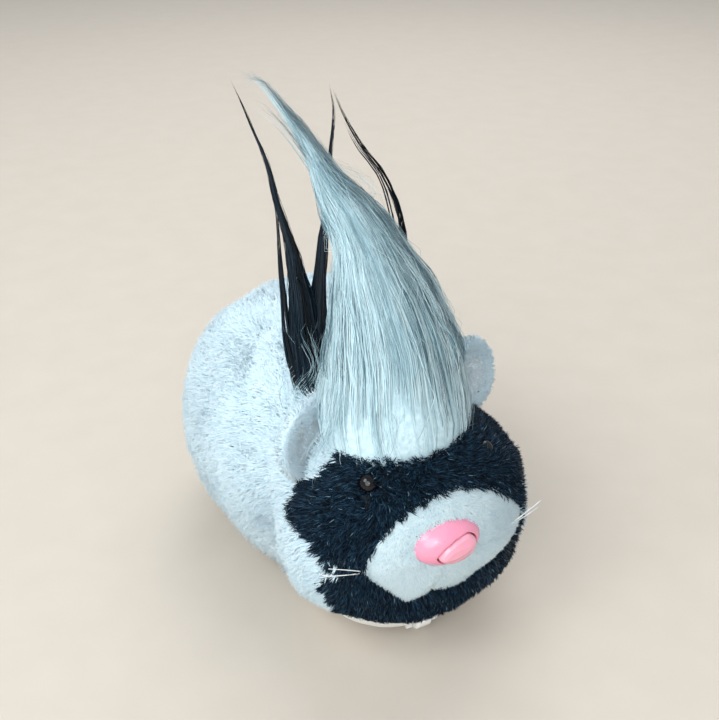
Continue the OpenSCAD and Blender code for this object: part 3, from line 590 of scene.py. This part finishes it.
def inside_body(p):
    """Above 0 where the pale cover goes, which laps 1 mm under the mask."""
    return -1 if in_nose_hole(p) else -mask_edge(p[None])[0] + 1.0


def inside_mask(p):
    return -1 if in_nose_hole(p) else mask_edge(p[None])[0] + 1.0


body_skin = finish_piece(skin_piece("body_cover", inside_body, body_cloth, 0.7),
                         replaces=["body_plush"])
face_skin = finish_piece(skin_piece("mask_cover", inside_mask, mask_cloth, 0.6),
                         replaces=["face_plush"])

roots, normals = sample_grid(skin_points, skin_normals, 104000, in_body)
body_pile = pile("body_pile", roots, normals, 3.5, 0.2, WHITE_PILE, [4, 3, 3, 1],
                 comb(roots, normals, 0.35, 0.22), 14, 0.3, spread=0.36, parts=6, normal_share=0.9)
roots, normals = sample_grid(skin_points, skin_normals, 30000, in_mask)
mask_pile = pile("mask_pile", roots, normals, 3.3, 0.16, BLACK_PILE, [5, 5, 4, 2.5, 0.12],
                 comb(roots, normals, 0.45, 0.5), 12, 0.5, spread=0.34, points=4, parts=3,
                 normal_share=0.35)


# ---------------------------------------------------------------- muzzle

MUZZLE_BUMP = 3.1
MUZZLE_THICK, MUZZLE_BACK_Y = 1.6, -57.0


def face_front(x, z):
    """y of the front of the plush form, just in front of its skin."""
    r = np.hypot(x, z - AXIS_Z)
    c = np.clip(r / HEAD_R, 0, 0.999) ** (FACE_POWER / 2)
    return HEAD_Y - FACE_L * np.sqrt(1 - c * c) ** (2 / FACE_POWER) + PILE_DEPTH - 0.3


def muzzle_surface(x, z):
    """y of the front of the muzzle pad at x, z: a soft bump on the front of the face."""
    s = np.clip(muzzle_outline(x, z), 0, 1)
    return face_front(x, z) - MUZZLE_BUMP * (1 - s ** 2.4) ** 0.75


def muzzle_grid(rows, cols):
    """The muzzle pad, as rings from its centre to its edge."""
    angle = turns(cols)
    s = np.linspace(0.0, 1.0, rows)
    dx, dz = np.cos(angle), np.sin(angle)
    reach = np.interp(angle, MUZZLE_ANGLE, MUZZLE_REACH, period=2 * math.pi)
    x = MUZZLE_CENTRE[0] + s[:, None] * (reach * dx)[None]
    z = MUZZLE_CENTRE[1] + s[:, None] * (reach * dz)[None]
    return np.stack([x, muzzle_surface(x, z), z], -1)


muzzle_points = muzzle_grid(40, 96)
muzzle_cloth = textured("cloth_muzzle", (0.76, 0.87, 0.93), (0.60, 0.74, 0.84), 0.85, 1500, 0.4, sheen=0.3)
back = muzzle_points[::-1].copy()
back[..., 1] = np.maximum(back[..., 1] + MUZZLE_THICK, MUZZLE_BACK_Y)
muzzle_skin = clean(grid_mesh("muzzle_cover", np.concatenate([muzzle_points, back], 0), muzzle_cloth), 2e-5)
finish_piece(muzzle_skin, replaces=["muzzle_plush"])

muzzle_normals = grid_normals(muzzle_points)
muzzle_normals *= -np.sign(muzzle_normals[..., 1:2] + 1e-9)


def on_muzzle(p, wide=False):
    """1 around the nose surround, under which no pile grows."""
    clear = (p[..., 0] / 8.6) ** 2 + ((p[..., 2] - NOSE_Z) / 5.6) ** 2 > 1
    return (clear | wide).astype(float)


roots, normals = sample_grid(muzzle_points, muzzle_normals, 34000, on_muzzle)
radial = np.stack([roots[:, 0] * 0.03, np.zeros(len(roots)), -0.35 + (roots[:, 2] - 34) * 0.01], -1)
muzzle_pile = pile("muzzle_pile", roots, normals, 1.9, 0.1, MUZZLE_PILE, [4, 3, 3, 1], radial, 12, 0.5,
                   spread=0.45, parts=2, normal_share=0.75)


# ---------------------------------------------------------------- nose

def pink(name, light, dark):
    return textured(name, light, dark, 0.27, 120, 0.02, coat=0.35, rough_spread=0.04)


nose_pink = pink("nose_plastic", (0.87, 0.33, 0.46), (0.80, 0.27, 0.40))
button_pink = pink("button_plastic", (0.90, 0.42, 0.52), (0.85, 0.35, 0.46))
BEZEL_Y, BEZEL_HALF_W, BEZEL_R = -55.5, 9.6, 6.4
BUTTON_GAP, TIP_Y, BUTTON_BACK_Y = 0.42, -62.3, -52.5
BUTTON_MIDDLE = (1.1, -1.0)


def button_outline(angle, gap=0.0):
    """Outline of the button about its own middle: a soft tongue, cornered at the left and the upper right."""
    knots = np.radians([-178, -140, -95, -50, -15, 22, 55, 85, 125, 155])
    reach = np.array([5.5, 4.1, 3.5, 4.3, 5.4, 5.6, 5.0, 3.9, 3.7, 4.5])
    fine = np.radians(np.arange(-180, 180, 3.0))
    near = np.exp(-((np.angle(np.exp(1j * (angle[:, None] - fine[None])))) / 0.07) ** 2)
    smooth = (near * np.interp(fine, knots, reach, period=2 * math.pi)[None]).sum(1) / near.sum(1)
    return np.cos(angle) * (smooth + gap), np.sin(angle) * (smooth + gap)


def bezel_front(x, z):
    """y of the front of the nose surround at x, z from the nose's middle."""
    inside = np.clip(1 - (x / BEZEL_HALF_W) ** 2 - (z / BEZEL_R) ** 2, 0, 1)
    return BEZEL_Y - BEZEL_R * inside ** 0.5


def nose_surround():
    """The surround, as rings from the hole's inner end over its rounded lip and out to the rim."""
    cols = 120
    angle = turns(cols)
    hx, hz = button_outline(angle, BUTTON_GAP)
    hx, hz = hx + BUTTON_MIDDLE[0], hz + BUTTON_MIDDLE[1]
    outer = np.arctan2(hz / BEZEL_R, hx / BEZEL_HALF_W)
    ox, oz = np.cos(outer) * BEZEL_HALF_W, np.sin(outer) * BEZEL_R
    rows = []
    for depth in (6.5, 4.0, 1.2):
        rows.append(np.stack([hx, bezel_front(hx * 1.04, hz * 1.04) + depth, NOSE_Z + hz], -1))
    for s, lift in ((0.0, 0.45), (0.03, 0.16), (0.07, 0.03)):
        x, z = hx + (ox - hx) * s, hz + (oz - hz) * s
        rows.append(np.stack([x, bezel_front(x, z) + lift, NOSE_Z + z], -1))
    for s in np.sin(np.linspace(0.09, 1, 26) * math.pi / 2):
        x, z = hx + (ox - hx) * s, hz + (oz - hz) * s
        rows.append(np.stack([x, bezel_front(x, z), NOSE_Z + z], -1))
    for y, k in ((-54.5, 1.0), (-53.1, 0.96)):
        rows.append(np.stack([ox * k, np.full(cols, y), NOSE_Z + oz * k], -1))
    rows.append(rows[0])
    return clean(grid_mesh("nose_surround", np.array(rows), nose_pink), 2e-6)


def nose_lobe():
    """The button: its face follows the surround, a little proud of it, with a ridge from corner to corner."""
    cols = 96
    angle = turns(cols)
    bx, bz = button_outline(angle)
    rows = []
    for s in np.sin(np.linspace(0, 1, 24) * math.pi / 2):
        x, z = bx * s, bz * s
        face = bezel_front((x + BUTTON_MIDDLE[0]) * 0.9, (z + BUTTON_MIDDLE[1]) * 0.9)
        ridge = 0.55 * np.exp(-((z - 0.25 * x - 0.7) / 1.3) ** 2) * (1 - s ** 4)
        lip = 0.7 * max(0.0, s - 0.86) ** 2 / 0.14 ** 2
        rows.append(np.stack([x + BUTTON_MIDDLE[0], face - 0.25 - ridge + lip,
                              NOSE_Z + BUTTON_MIDDLE[1] + z], -1))
    x, z = bx + BUTTON_MIDDLE[0], bz + NOSE_Z + BUTTON_MIDDLE[1]
    for y in (-57.6, -55.5, BUTTON_BACK_Y):
        rows.append(np.stack([x, np.full(cols, y), z], -1))
    middle = np.array([BUTTON_MIDDLE[0], BUTTON_BACK_Y, NOSE_Z + BUTTON_MIDDLE[1]])
    rows.append(np.repeat(middle[None], cols, 0))
    p = np.array(rows)
    p[..., 1] = np.maximum(p[..., 1], TIP_Y)
    return clean(grid_mesh("nose_lobe", p, button_pink), 2e-6)


finish_piece(nose_surround(), replaces=["nose_bezel"])
finish_piece(nose_lobe(), body="nose_button", replaces=["nose_button"])


# ---------------------------------------------------------------- eyes and whiskers

eye_black = textured("eye_bead", (0.004, 0.004, 0.005), (0.002, 0.002, 0.003), 0.1, 200, 0.0,
                     specular=0.4, rough_spread=0.02)
bristle = textured("whisker_nylon", (0.86, 0.88, 0.88), (0.74, 0.77, 0.79), 0.35, 700, 0.05)


def eye(side, name):
    """A glossy bead, a little flattened, with a low rim where it meets the cloth."""
    bead = EYE * (side, 1, 1)
    bm = bmesh.new()
    bmesh.ops.create_uvsphere(bm, u_segments=40, v_segments=24, radius=EYE_R * MM)
    out = unit(np.array([side * 0.35, -0.78, 0.52]))
    for v in bm.verts:
        d = np.array(v.co) / MM
        along = d @ out
        rim = math.exp(-((along + 0.5) / 0.45) ** 2) * 0.18
        flat = d - along * out
        d = flat * (1 + rim) + out * along * 0.86
        v.co = Vector((bead + d) * MM)
    mesh = bpy.data.meshes.new(f"{name}_bead")
    bm.to_mesh(mesh)
    bm.free()
    mesh.materials.append(eye_black)
    mesh.polygons.foreach_set("use_smooth", np.ones(len(mesh.polygons), bool))
    obj = link_object(f"{name}_bead", mesh)
    return finish_piece(obj, replaces=[name])


eye(-1, "eye_right")
eye(1, "eye_left")


WHISKER_TIPS = [(30.4, -53.4, 38.4), (31.2, -51.6, 34.8), (30.8, -49.0, 33.2)]
WHISKER_POINTS = 14


def whiskers(side, name):
    """A bunch of nearly straight bristles that starts inside the muzzle's edge."""
    root = np.array([side * 20.6, -54.0, 33.9])
    parts = []
    for i, tip in enumerate(WHISKER_TIPS):
        tip = np.array([side * tip[0], tip[1], tip[2]])
        t = np.linspace(0, 1, WHISKER_POINTS)[:, None]
        sag = np.array([0, -0.3, 0.3 - 0.2 * i])
        start = root + np.array([0, 0.1 * i, 0.3 - 0.3 * i])
        line = start * (1 - t) + tip * t + sag * (4 * t * (1 - t))
        line[0] += np.array([-side * 1.2, 1.2, 0])
        radii = np.linspace(0.17, 0.09, WHISKER_POINTS)
        parts.append(tube(f"{name}_{i}", line, radii, bristle, 8))
    bpy.ops.object.select_all(action="DESELECT")
    for o in parts:
        o.select_set(True)
    bpy.context.view_layer.objects.active = parts[0]
    bpy.ops.object.join()
    parts[0].name = f"{name}_bristles"
    return finish_piece(parts[0], replaces=[name])


whiskers(-1, "whiskers_right")
whiskers(1, "whiskers_left")


# ---------------------------------------------------------------- hair

def lock_line(spheres):
    """Centre and radius along a lock, smoothly through its spheres, as functions of 0 to 1."""
    s = np.array(spheres, float)
    step = np.linalg.norm(np.diff(s, axis=0), axis=1)
    at = np.concatenate([[0], np.cumsum(step)]) / step.sum()

    def smooth(t):
        t = np.clip(t, 0, 1)
        i = np.clip(np.searchsorted(at, t, side="right") - 1, 0, len(s) - 2)
        h = at[i + 1] - at[i]
        x = ((t - at[i]) / h)[..., None]
        slope = np.gradient(s, at, axis=0)
        a, b = s[i], s[i + 1]
        ma, mb = slope[i] * h[..., None], slope[i + 1] * h[..., None]
        x2, x3 = x * x, x ** 3
        return (2 * x3 - 3 * x2 + 1) * a + (x3 - 2 * x2 + x) * ma + (3 * x2 - 2 * x3) * b + (x3 - x2) * mb

    return smooth


LOCK_FLAT = 0.8     # depth of a lock over its width


def lock_frames(line, at):
    """The two directions across a lock, sideways and to the front, at places along it from 0 to 1."""
    tangent = unit(line(np.clip(at + 0.01, 0, 1))[..., :3] - line(np.clip(at - 0.01, 0, 1))[..., :3])
    side = unit(np.cross(tangent, np.array([0.0, -1.0, 0.25])))
    return side, np.cross(side, tangent)


def hair(name, spheres, clumps, per_clump, radius, weights, materials, slot, points=18, start_spread=1.0,
         end_range=(0.62, 1.0), reach_power=1.0, ends=None, frizz=0.25, clump_size=2.4, root_share=1.0,
         own_tone=0.55, shaded_side_weights=None, normal_share=0.35, parts=1, replaces=()):
    """A combed lock: strands in clumps that run along the lock and close up with its radius.

    ends gives the quantiles of where strands end along the lock. Without it, they end within end_range,
    mostly near its start where reach_power is above 1. own_tone is the share of strands with their clump's
    colour. Clumps on the lock's side away from the key light take their colours by the shaded side's weights,
    mostly darker greys, as painted shade.
    """
    line = lock_line(spheres)
    t = np.linspace(0, 1, points) ** root_share
    n = clumps * per_clump
    angle = rng.uniform(0, 2 * math.pi, clumps)
    share = np.sqrt(rng.uniform(0.45, 1.0, clumps)) * 0.94
    clump_of = np.repeat(np.arange(clumps), per_clump)
    length = end_range[0] + (end_range[1] - end_range[0]) * rng.random(n) ** reach_power
    length = np.where(rng.random(n) < 0.25, rng.uniform(end_range[0] * 0.6, end_range[0] * 1.3, n), length)
    if ends:
        length = np.interp(rng.random(n), *ends)
    along = t[None, :] * length[:, None]
    data = line(along)
    centre, size = data[..., :3], np.maximum(data[..., 3], 0.1)
    side, front = lock_frames(line, along)
    turn = angle[clump_of][:, None] + 0.5 * along + rng.normal(0, 0.05, (n, 1))
    own_size = np.minimum(clump_size * (size / size.max()) ** 0.8, size * 0.5)
    reach = share[clump_of][:, None] * np.maximum(size * start_spread - own_size, 0)
    p = (centre + (np.cos(turn) * reach)[..., None] * side
         + (np.sin(turn) * reach * LOCK_FLAT)[..., None] * front)
    own_angle = rng.uniform(0, 2 * math.pi, (n, 1)) + rng.normal(0, 1.2, (n, 1)) * along
    own = np.sqrt(rng.random((n, 1))) * own_size
    p = p + (np.cos(own_angle) * own)[..., None] * side + (np.sin(own_angle) * own)[..., None] * front
    wave = Waves(14, outputs=3)
    p = p + wave(p + rng.normal(0, 1.5, (n, 1, 3))) * frizz * np.minimum(0.25 + along, size * 0.8)[..., None]
    profile = np.interp(t, [0, 0.08, 0.25, 0.6, 0.9, 1], [0.25, 0.55, 1, 0.85, 0.5, 0.0])
    radii = radius * rng.uniform(0.7, 1.2, (n, 1)) * profile[None]
    tone = pick(clumps, weights)
    # Painted shade: clumps on the lock's side away from the key light take darker colours by the shaded
    # side's weights.
    if shaded_side_weights:
        in_painted_shade = np.cos(angle) * share > rng.uniform(0.0, 0.5, clumps)
        tone = np.where(in_painted_shade, pick(clumps, shaded_side_weights), tone)
    choice = np.where(rng.random(n) < own_tone, tone[clump_of], pick(n, weights))
    outward = unit(p[:, points // 3] - centre[:, points // 3])
    strand_pieces(name, np.arange(n), parts, p, radii, materials, choice, outward, normal_share,
                  replaces)


# Each lock is a row of spheres, as x, y, z and radius.
WHITE_LOCK = [[-1.8, -33, 52.4, 5], [-1.8, -33.4, 51.8, 12], [-1.8, -33.5, 52.8, 17.4],
              [-1.8, -33.2, 55.6, 20.6], [-1.8, -32.5, 60.2, 21.8], [-1.8, -31.4, 66, 22],
              [-1.2, -29.5, 76, 19.8], [-1.0, -25, 87, 16.2], [-1.4, -20, 96, 12.6],
              [-2.6, -14, 105, 8.8], [-5.6, -5, 114, 5], [-8, 3, 122, 2.5], [-12.7, 8, 132, 1.4],
              [-19.8, 9, 140, 0.9], [-23.4, 8, 141.6, 0.8], [-25, 6.5, 137.5, 0.7]]
TUFT_ENDS = ([0, 0.1, 0.5, 0.84, 0.972, 0.993, 1], [0.25, 0.46, 0.56, 0.7, 0.8, 0.9, 1])


def hair_root(name, spheres, share, end, material):
    """The felted root of a lock: a soft closed form just under its strands, which tapers off at end."""
    line = lock_line(spheres)
    t = np.linspace(0, end, 44)
    data = line(t)
    centre, size = data[:, :3], data[:, 3] * share * (1 - (t / end) ** 3)
    size[0], size[-1] = 0.05, 0.05
    side, front = lock_frames(line, t)
    angle = turns(72)
    p = (centre[:, None] + (np.cos(angle)[None] * size[:, None])[..., None] * side[:, None]
         + (np.sin(angle)[None] * size[:, None] * LOCK_FLAT)[..., None] * front[:, None])
    finish_piece(clean(grid_mesh(name, p, material), 2e-5))


felt = textured("hair_felt", (0.62, 0.80, 0.86), (0.46, 0.64, 0.71), 0.8, 700, 0.5, sheen=0.2)
hair_root("tuft_root", WHITE_LOCK, 0.93, 0.5, felt)
PALE = dict(materials=WHITE_HAIR, slot="hair_grey")
# In tuft_white, the last weights, for clumps on the side away from the key light, lean to the dark greys:
# painted shade.
hair("tuft_white", WHITE_LOCK, 300, 22, 0.1, [5, 5, 4, 0.8, 3, 0.15], points=19, ends=TUFT_ENDS, frizz=0.5,
     clump_size=3.0, root_share=1.3, own_tone=0.45, shaded_side_weights=[3, 2, 4, 3, 1, 1.6], normal_share=0.75,
     parts=4, replaces=["hair_white"], **PALE)
hair("tuft_ropes", WHITE_LOCK, 30, 22, 0.085, [1, 4, 1, 0.5, 6, 0], points=19, start_spread=1.02,
     ends=TUFT_ENDS, frizz=0.9, clump_size=0.6, root_share=1.3, own_tone=0.8, normal_share=0.5, **PALE)
# tuft_shade lays greyer strands over the upper lock, darkest on its side away from the key light: painted
# shade.
hair("tuft_shade",
     [[-1.2, -29, 70, 15], [-1.2, -29.5, 76, 20.2], [-1.0, -25, 87, 16.6], [-1.4, -20, 96, 13],
      [-2.6, -14, 105, 9], [-5.6, -5, 114, 5.2], [-8, 3, 122, 2.6], [-12.7, 8, 132, 1.5],
      [-19.8, 9, 140, 1.1], [-23, 8, 141, 0.9]],
     56, 12, 0.08, [1, 0, 3, 5, 0, 3], points=16, ends=([0, 0.3, 0.7, 0.94, 1], [0.3, 0.5, 0.66, 0.8, 1]),
     frizz=0.9, clump_size=0.7, own_tone=0.7, shaded_side_weights=[0, 0, 2, 5, 0, 5], normal_share=0.5, **PALE)
hair("tuft_wisps",
     [[-4, -8, 108, 2.5], [-7.5, -2, 116, 2.2], [-12, 3, 124, 2], [-17.5, 6, 131, 2.2], [-22, 8, 134.5, 2.4],
      [-24.5, 8, 133.5, 2.6]],
     12, 3, 0.06, [1, 1, 3, 4, 1, 1], points=14, end_range=(0.4, 1.0), frizz=0.9, clump_size=0.8,
     own_tone=0.3, **PALE)
hair("tuft_frizz", WHITE_LOCK, 120, 3, 0.05, [2, 3, 2, 2, 4, 1], points=19, start_spread=1.06,
     end_range=(0.2, 0.8), frizz=2.2, clump_size=3.4, root_share=1.3, own_tone=0.2, **PALE)
hair("stray_ear",
     [[-17, -33, 76, 2.5], [-20.5, -35, 69, 3.5], [-24, -36, 62, 4], [-27, -36, 56, 2.6],
      [-28.5, -35.5, 51, 1.2]],
     26, 3, 0.05, [2, 2, 3, 1, 3, 0], points=14, end_range=(0.35, 1.0), frizz=1.5, clump_size=2.2,
     own_tone=0.3, **PALE)

BLACK = dict(radius=0.11, weights=[4, 2, 3, 1], materials=BLACK_HAIR, slot="hair_black")
hair("lock_black_left",
     [[-12.5, -12, 56, 4.5], [-15, -10.5, 64, 6.4], [-16.2, -8, 77, 5.2], [-15.6, -4, 90, 3.3],
      [-16, 0, 100, 1.6], [-17.5, 5, 110.7, 0.85], [-19, 9, 121.4, 0.5], [-21.9, 13, 131.4, 0.3],
      [-24.3, 16, 139, 0.2]],
     20, 24, end_range=(0.5, 1.0), reach_power=2.2, frizz=0.35, clump_size=1.3,
     replaces=["hair_black_left"], **BLACK)
hair("lock_black_side",
     [[-14, -12, 58, 3.4], [-18.6, -10, 67, 3.0], [-20.3, -7, 78, 1.7], [-19.9, -4, 88, 0.9],
      [-18.4, 1, 100, 0.6], [-17.6, 5, 109.5, 0.4], [-18.2, 8, 117, 0.3]],
     5, 14, reach_power=1.5, frizz=0.3, clump_size=0.6, **BLACK)
hair("lock_black_middle",
     [[-12.5, -9, 58, 6.4], [-11.8, -7, 76, 4.4], [-9.1, -3, 88.7, 2.3], [-6.2, 0, 98.5, 1.5],
      [-3.7, 3, 108, 0.9], [-1.3, 6, 120, 0.6], [0.5, 8, 130, 0.45], [-0.2, 9, 136.5, 0.3]],
     14, 22, end_range=(0.55, 1.0), reach_power=1.8, frizz=0.35, clump_size=1.1,
     replaces=["hair_black_middle"], **BLACK)
hair("lock_black_right",
     [[13, -9, 62, 4.5], [15.2, -4.5, 92, 1.2], [15, -3, 98, 0.9], [14.3, 0, 106, 0.8],
      [11.9, 3, 113, 0.7], [7.5, 6, 119.5, 0.55], [3.6, 8, 127, 0.4], [1, 10, 135, 0.3]],
     4, 16, reach_power=0.8, frizz=0.3, clump_size=0.5, replaces=["hair_black_right"], **BLACK)
hair("lock_black_right_inner",
     [[11, -9, 62, 4.0], [12, -5, 92, 0.9], [12, -4, 98, 0.7], [11.7, -1, 106, 0.6],
      [9.9, 2, 113, 0.5], [5.9, 5, 119.7, 0.4], [2.6, 7, 127, 0.3]],
     3, 13, reach_power=0.8, frizz=0.3, clump_size=0.4, **BLACK)
hair("stray_white",
     [[-19, -12, 56, 5.5], [-17, -11, 66, 5.5], [-16, -10, 78, 4.5], [-16, -8, 88, 3]],
     34, 3, 0.055, [2, 2, 3, 2, 3, 1], start_spread=1.12, end_range=(0.2, 0.8), frizz=1.4, clump_size=2.0,
     root_share=1.3, **PALE)


# ---------------------------------------------------------------- ears

EAR_R, EAR_THICK, EAR_CUP = 9.3, 3.4, 1.1


def above_head(p, wide=False):
    return (p[..., 2] > 50).astype(float)


def ear(suffix, middle, turn, lean, lining_share):
    """A padded round ear with a cupped face. It is turned outward and leaned forward by degrees."""
    centre = np.array(middle)
    rows, cols = 24, 48
    turn, lean = math.radians(turn), math.radians(lean)
    face = np.array([math.sin(turn) * math.cos(lean), -math.cos(turn) * math.cos(lean), -math.sin(lean)])
    across = unit(np.cross(np.array([0.0, 0.0, 1.0]), face))
    up = unit(np.cross(face, across))
    angle = turns(cols)
    points = []
    for k in np.linspace(0, 1, rows):
        r = EAR_R * math.sin(k * math.pi) ** 0.55
        depth = -EAR_THICK / 2 * math.cos(k * math.pi)
        x, z = np.cos(angle) * r, np.sin(angle) * r * 1.02
        cup = EAR_CUP * (r / EAR_R) ** 2 - EAR_CUP
        points.append(centre + across * x[:, None] + up * z[:, None] + face * (cup - depth))
    p = np.array(points)
    shell = clean(grid_mesh(f"ear_cover_{suffix}", p, body_cloth), 2e-5)
    finish_piece(shell, replaces=[f"ear_{suffix}", f"ear_lining_{suffix}"])
    n = grid_normals(p)
    n *= np.sign(((p - centre) * n).sum(-1, keepdims=True))

    roots, normals = sample_grid(p, n, 7600, above_head)
    ahead = (roots - centre) @ face
    off_axis = np.linalg.norm(roots - centre - ahead[:, None] * face, axis=1)
    inner = (ahead > 0.2) & (off_axis < EAR_R * lining_share)
    outer = ~inner
    pile(f"ear_pile_{suffix}", roots[outer], normals[outer], 1.9, 0.15, WHITE_PILE, [4, 3, 3, 1],
         comb(roots[outer], normals[outer], 0.1, 0.3), 9, 0.25, spread=0.4)
    pile(f"ear_lining_pile_{suffix}", roots[inner], normals[inner], 0.8, 0.11, LINING_PILE, [3, 2, 2],
         comb(roots[inner], normals[inner], 0.3, 0.0), 9, 0.4)


ear("left", (25.0, -24.0, 62.5), 22, -12, 0.6)
ear("right", (-24.0, -28.0, 57.6), 24, -6, 0.7)


# ---------------------------------------------------------------- finishes of the CAD nodes that stay

FINISH = {
    "shell": textured("moulded_white", (0.80, 0.80, 0.78), (0.72, 0.72, 0.70), 0.42, 260, 0.08),
    "door": textured("moulded_white_door", (0.78, 0.78, 0.76), (0.70, 0.70, 0.68), 0.45, 300, 0.08),
    "gearbox": textured("moulded_grey", (0.42, 0.43, 0.44), (0.34, 0.35, 0.36), 0.5, 260, 0.1),
    "gear": textured("acetal_white", (0.84, 0.82, 0.76), (0.76, 0.74, 0.68), 0.35, 500, 0.05),
    "wheel": textured("wheel_grey", (0.50, 0.51, 0.53), (0.42, 0.43, 0.45), 0.45, 300, 0.08),
    "front": textured("wheel_white", (0.88, 0.88, 0.86), (0.80, 0.80, 0.78), 0.22, 300, 0.03, coat=0.4),
    "tyre": textured("rubber", (0.035, 0.035, 0.035), (0.018, 0.018, 0.018), 0.75, 700, 0.3),
    "steel": textured("steel", (0.58, 0.58, 0.60), (0.46, 0.46, 0.48), 0.28, 800, 0.05, metallic=1.0),
    "can": textured("motor_can", (0.62, 0.62, 0.62), (0.50, 0.50, 0.50), 0.3, 300, 0.04, metallic=1.0),
    "brass": textured("brass", (0.70, 0.52, 0.20), (0.60, 0.42, 0.15), 0.3, 500, 0.04, metallic=1.0),
    "board": textured("board_green", (0.05, 0.20, 0.08), (0.03, 0.14, 0.05), 0.4, 500, 0.06),
    "black": textured("moulded_black", (0.035, 0.035, 0.037), (0.02, 0.02, 0.022), 0.4, 400, 0.1),
    "cell": textured("cell_wrap", (0.06, 0.20, 0.42), (0.04, 0.15, 0.34), 0.3, 200, 0.03),
    "lead_red": textured("lead_red", (0.55, 0.03, 0.03), (0.42, 0.02, 0.02), 0.45, 600, 0.05),
}
GROUPS = {
    "shell": ["chassis_base", "upper_shell"], "door": ["battery_door"],
    "gearbox": ["gearbox_left", "gearbox_right"],
    "gear": ["first_gear", "second_gear", "axle_gear"],
    "wheel": ["drive_wheel_left", "drive_wheel_right"], "front": ["front_wheel"],
    "tyre": ["tyre_left", "tyre_right"],
    "steel": ["chassis_screws", "door_screw", "gearbox_screws", "gear_pins", "motor_shaft", "drive_axle",
              "front_axle", "board_screws", "speaker_screws", "contact_plate_front", "contact_spring_front",
              "contact_link_rear", "nose_spring"],
    "can": ["motor", "speaker"], "brass": ["motor_pinion"], "board": ["circuit_board"],
    "black": ["chip_blob", "nose_switch", "mode_switch", "mode_slider", "speaker_ring"],
    "cell": ["cell_left", "cell_right"],
    "lead_red": ["motor_leads", "battery_leads", "speaker_leads"],
}
for kind, members in GROUPS.items():
    for n in members:
        node = nodes[n]
        if not node.material_slots:
            node.data.materials.append(FINISH[kind])
        for s in node.material_slots:
            s.material = FINISH[kind]


# ---------------------------------------------------------------- floor

floor_mesh = bpy.data.meshes.new("floor")
floor_mesh.from_pydata([(-3, -3, 0), (3, -3, 0), (3, 3, 0), (-3, 3, 0)], [], [(0, 1, 2, 3)])
floor_mesh.materials.append(textured("floor_paper", (0.58, 0.52, 0.45), (0.56, 0.50, 0.43), 0.8, 60, 0.02))
floor = link_object("floor", floor_mesh)
